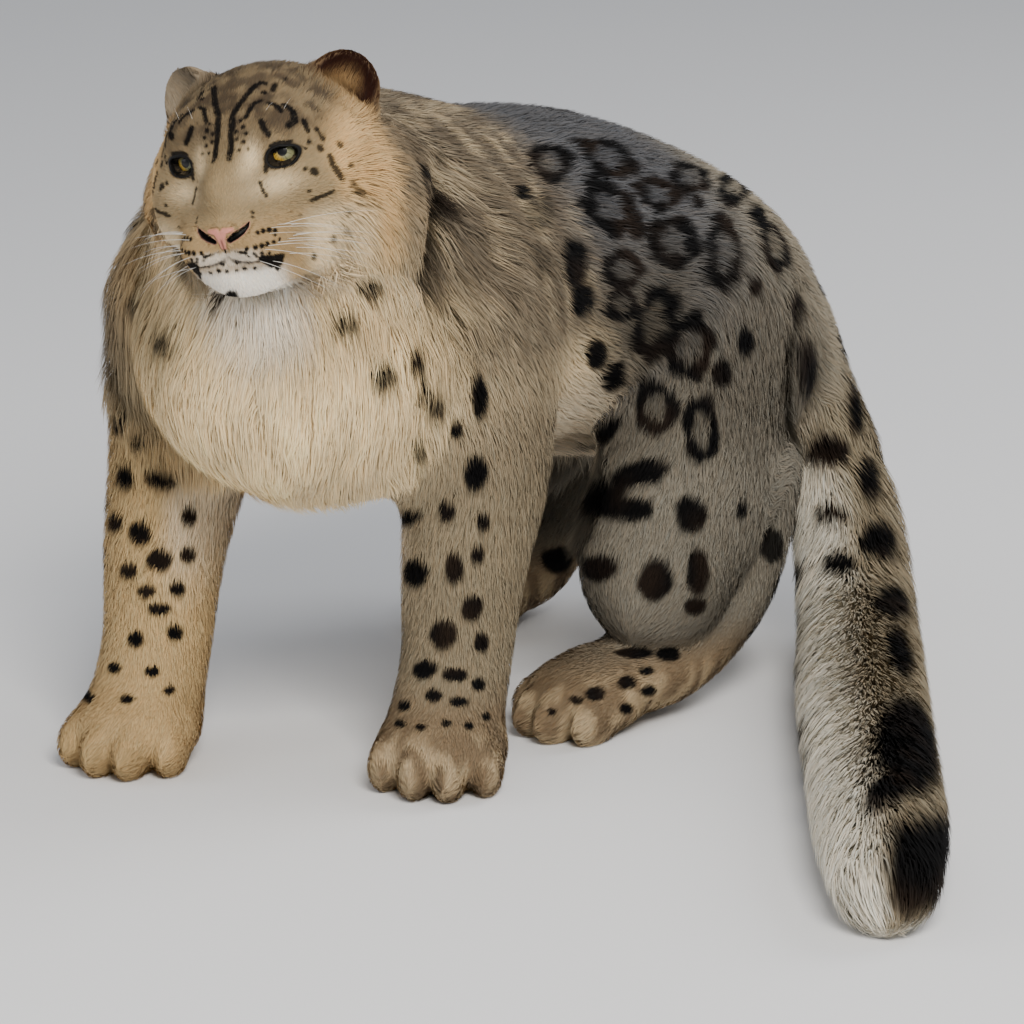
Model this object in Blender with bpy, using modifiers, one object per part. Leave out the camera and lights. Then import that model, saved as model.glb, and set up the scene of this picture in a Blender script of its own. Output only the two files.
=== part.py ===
"""A life-size snow leopard at a standstill: head turned to its left, left hind paw stepped up
behind the left forepaw, haunches low and the long tail laid forward on the floor.

Metres, +Z up. The animal faces -Y and its left side is +X. The floor is z = 0."""

import math

import bmesh
import bpy
import numpy as np
from mathutils import Matrix, Vector

# Driving sizes
GAP = 0.0003          # clearance between nodes that meet
WITHERS = 0.535       # height of the coat over the shoulders
BODY_STEP = 0.011     # voxel of the first body mesh
HEAD_STEP = 0.006     # and of the head, whose forms are small
BODY_SHARE = 0.125    # of the first body mesh's triangles, kept
HEAD_SHARE = 0.150    # and of the head's
EYE_RADIUS = 0.0150
LID_THICKNESS = 0.0028

# Half width across the animal and half depth fore and aft of each leg section
FORELEG_SIZES = {
    "shoulder": (0.064, 0.095),
    "elbow": (0.058, 0.074),
    "forearm": (0.051, 0.056),
    "wrist": (0.046, 0.048),
    "pastern": (0.048, 0.048),
}
THIGH_SIZES = {"hip": (0.080, 0.118), "mid_thigh": (0.074, 0.104), "knee": (0.064, 0.078)}
SHANK_SIZES = {
    "knee": (0.050, 0.055),
    "calf": (0.042, 0.050),
    "hock": (0.035, 0.040),
    "cannon": (0.036, 0.038),
    "instep": (0.042, 0.038),
    "toe_root": (0.046, 0.034),
}

# Where each joint of each leg stands, as x, y and z
FORELEG_JOINTS = {
    "left": {
        "shoulder": (0.120, -0.225, 0.380),
        "elbow": (0.145, -0.225, 0.270),
        "forearm": (0.147, -0.243, 0.175),
        "wrist": (0.145, -0.250, 0.100),
        "pastern": (0.145, -0.262, 0.052),
    },
    "right": {
        "shoulder": (-0.093, -0.305, 0.375),
        "elbow": (-0.098, -0.315, 0.270),
        "forearm": (-0.094, -0.345, 0.175),
        "wrist": (-0.086, -0.365, 0.100),
        "pastern": (-0.084, -0.380, 0.052),
    },
}
THIGH_JOINTS = {
    "left": {
        "hip": (0.110, 0.130, 0.285),
        "mid_thigh": (0.152, 0.045, 0.205),
        "knee": (0.172, -0.018, 0.135),
    },
    "right": {
        "hip": (-0.060, 0.150, 0.285),
        "mid_thigh": (-0.105, 0.110, 0.210),
        "knee": (-0.120, 0.075, 0.165),
    },
}
SHANK_JOINTS = {
    "left": {
        "knee": (0.176, -0.020, 0.128),
        "calf": (0.182, 0.045, 0.162),
        "hock": (0.184, 0.110, 0.192),
        "cannon": (0.185, 0.075, 0.100),
        "instep": (0.175, 0.000, 0.050),
        "toe_root": (0.160, -0.075, 0.038),
    },
    "right": {
        "knee": (-0.122, 0.075, 0.150),
        "calf": (-0.115, 0.150, 0.165),
        "hock": (-0.105, 0.232, 0.180),
        "cannon": (-0.108, 0.205, 0.105),
        "instep": (-0.112, 0.155, 0.050),
        "toe_root": (-0.115, 0.095, 0.038),
    },
}

# Trunk, neck and tail stations: x, y, z, half width and half height
TRUNK = (
    (0.035, -0.335, 0.365, 0.125, 0.130),
    (0.025, -0.260, 0.380, 0.162, 0.165),
    (0.008, -0.130, WITHERS - 0.168, 0.160, 0.158),
    (0.000, 0.000, 0.352, 0.160, 0.155),
    (0.010, 0.095, 0.328, 0.155, 0.146),
    (0.026, 0.170, 0.298, 0.142, 0.135),
    (0.042, 0.222, 0.268, 0.112, 0.108),
)
NECK = (
    (0.012, -0.180, 0.415, 0.118, 0.112),
    (0.028, -0.265, 0.440, 0.130, 0.120),
    (0.045, -0.325, 0.465, 0.118, 0.110),
    (0.062, -0.360, 0.488, 0.094, 0.092),
)
TAIL = (
    (0.048, 0.238, 0.268, 0.055, 0.055),
    (0.092, 0.282, 0.222, 0.050, 0.050),
    (0.166, 0.256, 0.125, 0.053, 0.053),
    (0.245, 0.172, 0.056, 0.056, 0.056),
    (0.330, 0.062, 0.046, 0.058, 0.056),
    (0.420, -0.053, 0.046, 0.058, 0.056),
    (0.510, -0.165, 0.046, 0.057, 0.055),
    (0.596, -0.272, 0.044, 0.055, 0.053),
    (0.652, -0.343, 0.036, 0.045, 0.043),
)

# The head in its own frame: +X its left, -Y forward, +Z up, from the middle of the skull
HEAD_AT = Vector((0.071, -0.395, 0.523))
HEAD_YAW, HEAD_PITCH, HEAD_ROLL = 23.0, 3.0, 9.0
EYE_AT = Vector((0.0370, -0.0495, 0.0205))
NOSE_AT = Vector((0.0, -0.1180, -0.0260))
# name: centre, half sizes, how softly it joins the rest
HEAD_FORMS = {
    "skull": ((0.0, 0.012, 0.008), (0.072, 0.086, 0.066), 0.010),
    "crown": ((0.0, -0.012, 0.032), (0.050, 0.058, 0.038), 0.030),
    "cheek": ((0.045, -0.010, -0.022), (0.044, 0.052, 0.044), 0.030),
    "ruff": ((0.055, 0.022, -0.040), (0.046, 0.040, 0.050), 0.030),
    "brow": ((0.034, -0.045, 0.040), (0.020, 0.018, 0.012), 0.020),
    "cheekbone": ((0.046, -0.048, -0.008), (0.022, 0.022, 0.016), 0.018),
    "bridge": ((0.0, -0.074, 0.002), (0.022, 0.044, 0.026), 0.022),
    "muzzle": ((0.0, -0.076, -0.031), (0.040, 0.040, 0.030), 0.020),
    "lip": ((0.020, -0.094, -0.040), (0.024, 0.024, 0.020), 0.012),
    "chin": ((0.0, -0.080, -0.066), (0.028, 0.028, 0.020), 0.014),
    "throat": ((0.0, -0.012, -0.085), (0.060, 0.058, 0.062), 0.030),
    "jaw": ((0.024, -0.045, -0.056), (0.026, 0.042, 0.022), 0.020),
    "nose_pad": ((0.0, -0.108, -0.026), (0.015, 0.012, 0.011), 0.008),
    "lids": (tuple(EYE_AT), (EYE_RADIUS + LID_THICKNESS,) * 3, 0.010),
}
EAR_AT = Vector((0.062, 0.028, 0.046))
EAR_HALF = (0.032, 0.019, 0.036)
EAR_WALL = 0.006

TRUNK_BLEND = 0.045
LEG_BLEND = 0.040
PAW_BLEND = 0.016
TOE_BLEND = 0.006
NECK_BLEND = 0.060


def turn(axis, degrees):
    return Matrix.Rotation(math.radians(degrees), 3, axis)


HEAD_TURN = turn("Z", HEAD_YAW) @ turn("X", HEAD_PITCH) @ turn("Y", -HEAD_ROLL)


def on_head(point):
    """A point of the head's own frame, in the animal's frame."""
    return HEAD_AT + HEAD_TURN @ Vector(point)


def mirrored(point, side):
    return Vector((point[0] * side, point[1], point[2]))


def smooth_stations(stations, between=4):
    """A Catmull-Rom curve through the stations, each with its place and half sizes."""
    given = np.array(stations, float)
    ends = np.vstack([2 * given[0] - given[1], given, 2 * given[-1] - given[-2]])
    found = []
    for a, b, c, d in zip(ends, ends[1:], ends[2:], ends[3:]):
        for t in np.linspace(0, 1, between, endpoint=False):
            found.append(
                0.5 * (2 * b + (c - a) * t + (2 * a - 5 * b + 4 * c - d) * t**2
                       + (3 * b - a - 3 * c + d) * t**3)
            )
    return np.array(found + [given[-1]])


def smooth_min(a, b, soft):
    """The nearer of two surfaces, rounded over where they meet."""
    h = np.clip(0.5 + 0.5 * (b - a) / soft, 0, 1)
    return b * (1 - h) + a * h - soft * h * (1 - h)


class Limb:
    """A tube with an elliptical section that changes along a smooth line."""

    def __init__(self, stations, across=(1, 0, 0)):
        self.stations = smooth_stations(stations)
        self.across = np.array(across, float)

    def frame(self, a, b):
        along = (b - a) / np.linalg.norm(b - a)
        side = self.across - along * (self.across @ along)
        return along, side / np.linalg.norm(side)

    def distance(self, points):
        best = np.full(len(points), 9.0)
        for a, b in zip(self.stations, self.stations[1:]):
            along, side = self.frame(a[:3], b[:3])
            step = b[:3] - a[:3]
            t = np.clip((points - a[:3]) @ step / (step @ step), 0, 1)
            off = points - (a[:3] + t[:, None] * step)
            wide = a[3] + (b[3] - a[3]) * t
            deep = a[4] + (b[4] - a[4]) * t
            sideways = off @ side
            rest = np.sqrt(np.maximum((off**2).sum(1) - sideways**2, 0))
            near = np.hypot(sideways / wide, rest / deep)
            slope = np.hypot(sideways / wide**2, rest / deep**2)
            best = np.minimum(best, near * (near - 1) / np.maximum(slope, 1e-6))
        return best

    def beads(self):
        for before, here, after in zip(
            np.vstack([self.stations[:1], self.stations]), self.stations,
            np.vstack([self.stations[1:], self.stations[-1:]]),
        ):
            along, side = self.frame(before[:3], after[:3])
            other = np.cross(along, side)
            size = np.column_stack([side * here[3], other * here[4], along * here[4]])
            yield here[:3], size


class Ball:
    """An ellipsoid, turned as its matrix says."""

    def __init__(self, centre, half, turned=None):
        self.centre = np.array(centre, float)
        self.half = np.array(half, float)
        self.turned = np.array(turned if turned is not None else Matrix.Identity(3), float)

    def distance(self, points):
        local = (points - self.centre) @ self.turned
        near = np.linalg.norm(local / self.half, axis=1)
        slope = np.linalg.norm(local / self.half**2, axis=1)
        return near * (near - 1) / np.maximum(slope, 1e-6)

    def beads(self):
        yield self.centre, self.turned * self.half


def leg_stations(joints, sizes):
    return [(*joints[name], *sizes[name]) for name in sizes]


def paw_forms(toe_root, heading, length, width):
    """The pad of a paw and its four toes. Heading is the way it points, in degrees from -Y."""
    way = turn("Z", heading)
    ground = Vector((toe_root[0], toe_root[1], 0))
    pad = Ball(ground + way @ Vector((0, -0.25 * length, 0.030)), (width / 2, length / 2, 0.037), way)
    toes = []
    for place in (-1.5, -0.5, 0.5, 1.5):
        forward = 0.62 * length - 0.010 * place**2
        spot = ground + way @ Vector((place * width * 0.235, -forward, 0.021))
        toes.append(Ball(spot, (width * 0.150, 0.030, 0.026), way @ turn("Z", place * 9)))
    return [(pad, PAW_BLEND)] + [(toe, TOE_BLEND) for toe in toes]


PAWS = {
    "forepaw_left": (FORELEG_JOINTS["left"]["pastern"], 30, 0.110, 0.112),
    "forepaw_right": (FORELEG_JOINTS["right"]["pastern"], 20, 0.110, 0.112),
    "hindpaw_left": (SHANK_JOINTS["left"]["toe_root"], -12, 0.098, 0.100),
    "hindpaw_right": (SHANK_JOINTS["right"]["toe_root"], -4, 0.098, 0.100),
}


def leg_forms():
    """Each leg as a list of forms and the softness with which each joins those before it."""
    legs = []
    for side in ("left", "right"):
        fore = Limb(leg_stations(FORELEG_JOINTS[side], FORELEG_SIZES))
        legs.append([(fore, 0)] + paw_forms(*PAWS["forepaw_" + side]))
        thigh = Limb(leg_stations(THIGH_JOINTS[side], THIGH_SIZES))
        shank = Limb(leg_stations(SHANK_JOINTS[side], SHANK_SIZES))
        legs.append([(thigh, 0), (shank, 0.018)] + paw_forms(*PAWS["hindpaw_" + side]))
    return legs


def head_forms():
    forms = []
    for centre, half, soft in HEAD_FORMS.values():
        for side in (1, -1) if centre[0] else (1,):
            forms.append((Ball(on_head(mirrored(centre, side)), half, HEAD_TURN), soft))
    return forms


def joined(forms, points):
    total = forms[0][0].distance(points)
    for form, soft in forms[1:]:
        total = smooth_min(total, form.distance(points), soft)
    return total


TRUNK_FORMS = [(Limb(TRUNK), 0), (Limb(NECK), TRUNK_BLEND)]
LEG_FORMS = leg_forms()
TAIL_FORM = Limb(TAIL)
HEAD_PARTS = head_forms()


class CoatZone:
    """Where the coat is long: its form, how deep its locks stand over the core, and their size."""

    def __init__(self, forms, depth, length, width, spacing, lie):
        self.forms = forms
        self.depth = depth
        self.length = length
        self.width = width
        self.spacing = spacing
        self.lie = lie

    def share(self, points):
        """1 inside the zone, fading to 0 over 30 mm outside it."""
        near = np.min([form.distance(points) for form in self.forms], axis=0)
        return np.clip(1 - near / ZONE_FADE, 0, 1)


def down_and_back(points):
    return np.tile((0.0, 0.50, -0.85), (len(points), 1))


def from_the_nose(points):
    """Out over the cheeks, and then down."""
    away = points - np.array(on_head(NOSE_AT))
    away /= np.linalg.norm(away, axis=1)[:, None]
    return away + (0, 0, -0.7)


def along_tail(points):
    """The way to the tip of the tail, at the nearest station."""
    line = TAIL_FORM.stations[:, :3]
    nearest = np.argmin(np.linalg.norm(points[:, None] - line[None, :-1], axis=2), axis=1)
    return line[nearest + 1] - line[nearest]


def coat_distance(points):
    """How far each point lies outside the animal's outline, negative inside it."""
    trunk = joined(TRUNK_FORMS, points)
    whole = smooth_min(trunk, joined(HEAD_PARTS, points), NECK_BLEND)
    for leg in LEG_FORMS:
        whole = np.minimum(whole, smooth_min(trunk, joined(leg, points), LEG_BLEND))
    return np.minimum(whole, smooth_min(trunk, TAIL_FORM.distance(points), TRUNK_BLEND))


ZONE_FADE = 0.030
COAT_ZONES = {
    "bib": CoatZone(
        (
            Ball((0.030, -0.360, 0.370), (0.160, 0.130, 0.120)),
            Ball((0.040, -0.270, 0.440), (0.150, 0.080, 0.080)),
        ),
        0.018, 0.120, 0.050, 0.039, down_and_back,
    ),
    "belly": CoatZone(
        (Ball((0.005, -0.020, 0.195), (0.130, 0.220, 0.060)),), 0.020, 0.120, 0.060, 0.062, down_and_back
    ),
    "cheek": CoatZone(
        [
            Ball(on_head((0.076 * side, 0.005, -0.050)), (0.034, 0.045, 0.055), HEAD_TURN)
            for side in (1, -1)
        ],
        0.010, 0.066, 0.031, 0.026, from_the_nose,
    ),
    "breech": CoatZone(
        (
            Ball((0.150, 0.190, 0.230), (0.060, 0.060, 0.100)),
            Ball((-0.090, 0.260, 0.240), (0.070, 0.060, 0.100)),
        ),
        0.014, 0.085, 0.040, 0.040, down_and_back,
    ),
    "tail": CoatZone((Limb(TAIL[2:]),), 0.014, 0.125, 0.052, 0.056, along_tail),
}
# node: its zones, and the seed that its locks are drawn with
LOCK_NODES = {
    "neck": (("bib",), 11),
    "torso": (("bib", "belly"), 12),
    "head": (("cheek",), 13),
    "hindleg_left": (("breech",), 14),
    "hindleg_right": (("breech",), 15),
    "tail_upper": (("tail",), 16),
    "tail_middle": (("tail",), 17),
    "tail_tip": (("tail",), 21),
}


def all_forms():
    forms = TRUNK_FORMS + HEAD_PARTS + [(TAIL_FORM, 0)]
    for leg in LEG_FORMS:
        forms = forms + leg
    return forms


def core_distance(points):
    """The same from the dense coat that the locks of the long zones stand on."""
    sunk = np.max([zone.depth * zone.share(points) for zone in COAT_ZONES.values()], axis=0)
    return coat_distance(points) + sunk


def new_object(name, mesh, collection):
    made = bpy.data.objects.new(name, mesh)
    collection.objects.link(made)
    return made


def mesh_of(draw):
    """A mesh drawn into by a function that takes a bmesh."""
    shape = bmesh.new()
    draw(shape)
    mesh = bpy.data.meshes.new("shape")
    shape.to_mesh(mesh)
    shape.free()
    return mesh


def apply_modifiers(obj):
    """Replaces the object's mesh with what its modifiers make of it."""
    graph = bpy.context.evaluated_depsgraph_get()
    mesh = bpy.data.meshes.new_from_object(obj.evaluated_get(graph))
    obj.modifiers.clear()
    obj.data = mesh
    return obj


def draw_beads(shape, forms):
    ball = mesh_of(lambda one: bmesh.ops.create_uvsphere(one, u_segments=20, v_segments=12, radius=1))
    for centre, size in [bead for form, _ in forms for bead in form.beads()]:
        bead = ball.copy()
        place = Matrix.Translation(centre) @ Matrix(size.tolist()).to_4x4()
        bead.transform(place)
        if place.determinant() < 0:
            bead.flip_normals()
        shape.from_mesh(bead)
        bpy.data.meshes.remove(bead)


def settle(mesh, rounds):
    """Relaxes the mesh a little and draws it onto the blended outline."""
    shape = bmesh.new()
    shape.from_mesh(mesh)
    for _ in range(rounds):
        for _ in range(2):
            bmesh.ops.smooth_vert(
                shape, verts=shape.verts, factor=0.5, use_axis_x=True, use_axis_y=True, use_axis_z=True
            )
        for _ in range(2):
            shape.normal_update()
            places = np.array([v.co for v in shape.verts])
            normals = np.array([v.normal for v in shape.verts])
            off = np.clip(0.8 * core_distance(places), -0.01, 0.01)
            places -= normals * off[:, None]
            for vertex, place in zip(shape.verts, places):
                vertex.co = place
    shape.to_mesh(mesh)
    shape.free()


def outline(forms, step, collection):
    """The outline of those forms of the animal, as one closed mesh with faces of one size."""
    whole = new_object("outline", mesh_of(lambda shape: draw_beads(shape, forms)), collection)
    remesh = whole.modifiers.new("skin", "REMESH")
    remesh.mode = "VOXEL"
    remesh.voxel_size = step
    apply_modifiers(whole)
    settle(whole.data, 4)
    return keep_largest(whole)


def reduced(obj, share):
    """Leaves that share of the object's triangles."""
    modifier = obj.modifiers.new("fewer", "DECIMATE")
    modifier.ratio = share
    modifier.use_collapse_triangulate = True
    return apply_modifiers(obj)


def is_closed(mesh):
    shape = bmesh.new()
    shape.from_mesh(mesh)
    closed = all(edge.is_manifold for edge in shape.edges) and all(v.is_manifold for v in shape.verts)
    shape.free()
    return closed


def boolean(obj, other, operation, largest_only=True):
    """Applies one Boolean and removes the object that did the cutting."""
    modifier = obj.modifiers.new("boolean", "BOOLEAN")
    modifier.operation = operation
    modifier.solver = "MANIFOLD"
    modifier.object = other
    apply_modifiers(obj)
    bpy.data.objects.remove(other)
    return keep_largest(obj) if largest_only else obj


def keep_largest(obj):
    """Keeps the largest closed surface, so it fills any sealed hollow and drops any crumbs."""
    shape = bmesh.new()
    shape.from_mesh(obj.data)
    left = set(shape.faces)
    pieces = []
    while left:
        start = left.pop()
        piece, edge = [start], [start]
        while edge:
            for link in edge.pop().edges:
                for face in link.link_faces if len(link.link_faces) == 2 else ():
                    if face in left:
                        left.remove(face)
                        piece.append(face)
                        edge.append(face)
        pieces.append(piece)
    pieces.sort(key=len)
    dropped = [face for piece in pieces[:-1] for face in piece]
    bmesh.ops.delete(shape, geom=dropped, context="FACES")
    shape.to_mesh(obj.data)
    shape.free()
    return obj


def without_slivers(obj):
    """Merges points that a cut left almost touching, as far as the surface stays closed."""
    for near in (0.0008, 0.0006, 0.0004, 0.0002, 0.0001, 0.00005, 0.00002):
        mesh = obj.data.copy()
        shape = bmesh.new()
        shape.from_mesh(mesh)
        bmesh.ops.triangulate(shape, faces=shape.faces)
        bmesh.ops.dissolve_degenerate(shape, edges=shape.edges, dist=near)
        bmesh.ops.triangulate(shape, faces=shape.faces)
        shape.to_mesh(mesh)
        shape.free()
        if is_closed(mesh):
            obj.data = mesh
            return obj
        bpy.data.meshes.remove(mesh)
    return obj


def split_loose(obj, name, collection):
    """Moves the smaller of the object's two closed surfaces into an object of its own."""
    other = new_object(name, obj.data.copy(), collection)
    keep_largest(obj)
    kept = {tuple(v.co) for v in obj.data.vertices}
    shape = bmesh.new()
    shape.from_mesh(other.data)
    bmesh.ops.delete(shape, geom=[v for v in shape.verts if tuple(v.co) in kept], context="VERTS")
    shape.to_mesh(other.data)
    shape.free()
    return keep_largest(other)


def block_mesh(region, grow):
    """A box with its near face at a point, reaching away along a direction."""
    point, axes, (reach, wide, tall) = region_axes(region)
    centre = Vector(point + axes[0] * reach / 2)
    axes = Matrix(axes.tolist()).transposed().to_4x4()
    scale = Matrix.Diagonal((reach + 2 * grow, 2 * (wide + grow), 2 * (tall + grow), 1))
    return mesh_of(
        lambda shape: bmesh.ops.create_cube(
            shape, size=1, matrix=Matrix.Translation(centre) @ axes @ scale
        )
    )


def inside(source, region, name, collection, grow=0.0):
    """A copy of the part of the object that lies in the region."""
    part = new_object(name, source.data.copy(), collection)
    return boolean(part, new_object("region", block_mesh(region, grow), collection), "INTERSECT")


def outside(obj, region, collection, grow=GAP):
    """Takes the region out of the object, with a clearance."""
    return boolean(obj, new_object("region", block_mesh(region, grow), collection), "DIFFERENCE")


# A thin plate across the root of the tail
TAIL_PLATE = ((0.166, 0.256, 0.125), (0.60, -0.44, -0.66), (0, 0, 1), (GAP, 0.065, 0.065))

# Where the nodes part: a point on the near face, the way into the region, a reference across it,
# and how far it reaches along, across and over
HEAD_REGION = (on_head((0, 0.040, -0.030)), HEAD_TURN @ Vector((0, -0.74, 0.67)), (1, 0, 0), (0.9, 0.6, 0.6))
NECK_REGION = ((0.028, -0.245, 0.420), (0.20, -0.55, 0.80), (1, 0, 0), (0.40, 0.30, 0.32))
FLOOR_REGION = ((0.1, 0, 0), (0, 0, -1), (1, 0, 0), (0.20, 2.0, 2.0))
TAIL_REGIONS = {
    "tail_tip": ((0.520, -0.178, 0.052), (0.62, -0.78, 0), (0, 0, 1), (0.50, 0.50, 0.50)),
    "tail_middle": ((0.360, 0.023, 0.052), (0.62, -0.78, 0), (0, 0, 1), (0.50, 0.50, 0.50)),
}
LIMB_REGIONS = {
    "forepaw_left": ((0.160, -0.295, 0.076), (0, 0, -1), (0, 1, 0), (0.10, 0.100, 0.085)),
    "forepaw_right": ((-0.084, -0.415, 0.076), (0, 0, -1), (0, 1, 0), (0.10, 0.100, 0.085)),
    "foreleg_left": ((0.125, -0.310, 0.275), (0.77, 0, -0.64), (0, 1, 0), (0.34, 0.160, 0.215)),
    "foreleg_right": ((-0.080, -0.390, 0.275), (-0.77, 0, -0.64), (0, 1, 0), (0.34, 0.150, 0.200)),
    "hindpaw_left": ((0.160, -0.076, 0.040), (-0.20, -1, 0), (1, 0, 0), (0.17, 0.090, 0.048)),
    "hindpaw_right": ((-0.115, 0.090, 0.040), (-0.05, -1, 0), (1, 0, 0), (0.17, 0.085, 0.048)),
    "hindleg_left": ((0.120, 0.050, 0.245), (0.77, 0, -0.64), (0, 1, 0), (0.34, 0.150, 0.230)),
    "tail_root": ((0.098, 0.283, 0.213), (0.60, 0.0, -0.80), (0, 0, 1), (0.14, 0.075, 0.075)),
    "hindleg_right": ((-0.085, 0.150, 0.245), (-0.77, 0, -0.64), (0, 1, 0), (0.34, 0.190, 0.180)),
}


# What each node that carries locks has to itself: the regions it keeps within, and those it keeps out of
BEYOND_TAIL_PLATE = TAIL_PLATE[:3] + ((0.50, 0.50, 0.50),)
WITHIN = {
    "neck": (NECK_REGION,),
    "torso": (),
    "head": (HEAD_REGION,),
    "hindleg_left": (LIMB_REGIONS["hindleg_left"],),
    "hindleg_right": (LIMB_REGIONS["hindleg_right"],),
    "tail_upper": (BEYOND_TAIL_PLATE,),
    "tail_middle": (TAIL_REGIONS["tail_middle"],),
    "tail_tip": (TAIL_REGIONS["tail_tip"],),
}
WITHOUT = {
    "neck": (HEAD_REGION, *LIMB_REGIONS.values()),
    "torso": (HEAD_REGION, NECK_REGION, *LIMB_REGIONS.values()),
    "head": (),
    "hindleg_left": (LIMB_REGIONS["tail_root"], LIMB_REGIONS["hindpaw_left"]),
    "hindleg_right": (LIMB_REGIONS["tail_root"], LIMB_REGIONS["hindpaw_right"], LIMB_REGIONS["hindleg_left"]),
    "tail_upper": (TAIL_REGIONS["tail_middle"],),
    "tail_middle": (TAIL_REGIONS["tail_tip"],),
    "tail_tip": (),
}


def region_axes(region):
    point, way, reference, size = region
    along = Vector(way).normalized()
    first = Vector(reference) - along * along.dot(Vector(reference))
    first.normalize()
    return np.array(point), np.array((along, first, along.cross(first))), np.array(size)


def is_in(region, points, margin):
    """Which points lie in the region, grown by the margin on every side."""
    origin, axes, (reach, wide, tall) = region_axes(region)
    along, first, second = ((points - origin) @ axes.T).T
    in_reach = (along > -margin) & (along < reach + margin)
    return in_reach & (np.abs(first) < wide + margin) & (np.abs(second) < tall + margin)


def keeps_to(name, points):
    """Whether the points clear every other node's room by 1 mm, and the floor."""
    if any(not is_in(region, points, -0.001).all() for region in WITHIN[name]):
        return False
    if any(is_in(region, points, 0.001).any() for region in WITHOUT[name]):
        return False
    return points[:, 2].min() > 0.001


def outward(points):
    """The way out of the coat at each point."""
    step = 0.002
    ways = [coat_distance(points + d) - coat_distance(points - d) for d in np.eye(3) * step]
    ways = np.array(ways).T
    return ways / np.linalg.norm(ways, axis=1)[:, None]


# Along a lock: how far, how wide, how thick, and how far it has risen from the core to the outline
LOCK_RINGS = ((0.0, 0.80, 1.0, -0.7), (0.28, 1.0, 1.0, 0.35), (0.60, 0.85, 0.75, 0.80), (0.85, 0.45, 0.4, 0.97))
LOCK_THICKNESS = 0.26


def lock_lines(roots, lie, lengths, depth, sways):
    """For each root, points from under the core out to the coat's outline, along its lie."""
    steps = [ring[0] for ring in LOCK_RINGS] + [1.0]
    lines = [roots]
    for before, after in zip(steps, steps[1:]):
        way = outward(lines[-1])
        going = lie(lines[-1])
        going = going / np.linalg.norm(going, axis=1)[:, None] + sways
        going -= way * (way * going).sum(1)[:, None]
        going /= np.linalg.norm(going, axis=1)[:, None]
        lines.append(lines[-1] + going * ((after - before) * lengths)[:, None])
    lines = np.stack(lines, axis=1)
    flat = lines.reshape(-1, 3)
    ways = outward(flat)
    rise = np.array([ring[3] for ring in LOCK_RINGS] + [1.0])
    wanted = np.tile(-depth * (1 - rise), len(roots))
    for _ in range(2):
        flat = flat - ways * (coat_distance(flat) - wanted)[:, None]
    return flat.reshape(lines.shape), ways.reshape(lines.shape)


def lock_mesh(line, ways, width):
    """A flat lock, three-sided with its ridge outward, that narrows to its tip."""
    def draw(shape):
        rings = []
        for i, (_, wide, thick, _) in enumerate(LOCK_RINGS):
            along = line[i + 1] - line[i - 1] if i else line[1] - line[0]
            across = np.cross(along, ways[i])
            across *= 0.5 * width * wide / np.linalg.norm(across)
            up = ways[i] * LOCK_THICKNESS * width * thick
            ring = (line[i] - across - up * 0.5, line[i] + across - up * 0.5, line[i] + up * 0.5)
            rings.append([shape.verts.new(point) for point in ring])
        tip = shape.verts.new(line[-1])
        shape.faces.new(rings[0])
        for one, two in zip(rings, rings[1:]):
            for j in range(3):
                k = (j + 1) % 3
                shape.faces.new((one[j], one[k], two[k]))
                shape.faces.new((one[j], two[k], two[j]))
        for j in range(3):
            shape.faces.new((rings[-1][j], rings[-1][(j + 1) % 3], tip))
        bmesh.ops.recalc_face_normals(shape, faces=shape.faces)

    return mesh_of(draw)


def surface_points(mesh, count, draw):
    """Points drawn evenly over the mesh."""
    mesh.calc_loop_triangles()
    corners = np.array([[mesh.vertices[i].co for i in t.vertices] for t in mesh.loop_triangles])
    areas = np.array([t.area for t in mesh.loop_triangles])
    chosen = corners[draw.choice(len(corners), count, p=areas / areas.sum())]
    a, b = draw.random((2, count))
    a, b = np.where(a + b > 1, 1 - a, a), np.where(a + b > 1, 1 - b, b)
    return chosen[:, 0] + a[:, None] * (chosen[:, 1] - chosen[:, 0]) + b[:, None] * (chosen[:, 2] - chosen[:, 0])


def spaced(points, apart):
    """As many of the points, from the first on, as keep that far apart."""
    kept = points[:1]
    for point in points[1:]:
        if np.linalg.norm(kept - point, axis=1).min() > apart:
            kept = np.vstack([kept, point])
    return kept


def add_locks(node):
    """Covers the long zones of a node with locks, joined to it by one union."""
    names, seed = LOCK_NODES[node.name]
    draw = np.random.default_rng(seed)
    locks = bpy.data.collections.new("locks")
    bpy.context.scene.collection.children.link(locks)
    points = surface_points(node.data, 1500, draw)
    points = points[np.abs(core_distance(points)) < 0.006]
    for name in names:
        zone = COAT_ZONES[name]
        roots = points[zone.share(points) > 0.55]
        if not len(roots):
            continue
        roots = spaced(roots, zone.spacing)
        sways = draw.uniform(-0.25, 0.25, roots.shape)
        sizes = draw.uniform(0.85, 1.15, len(roots))
        waiting = np.ones(len(roots), bool)
        for shorter in (1.0, 0.7, 0.45):
            lines, ways = lock_lines(roots, zone.lie, zone.length * sizes * shorter, zone.depth, sways)
            for i in np.flatnonzero(waiting):
                mesh = lock_mesh(lines[i], ways[i], zone.width * sizes[i] * (0.4 + 0.6 * shorter))
                if keeps_to(node.name, np.array([v.co for v in mesh.vertices])):
                    new_object("lock", mesh, locks)
                    waiting[i] = False
    modifier = node.modifiers.new("locks", "BOOLEAN")
    modifier.operation = "UNION"
    modifier.solver = "MANIFOLD"
    modifier.operand_type = "COLLECTION"
    modifier.collection = locks
    apply_modifiers(node)
    for lock in list(locks.objects):
        bpy.data.objects.remove(lock)
    bpy.data.collections.remove(locks)
    keep_largest(node)


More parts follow.
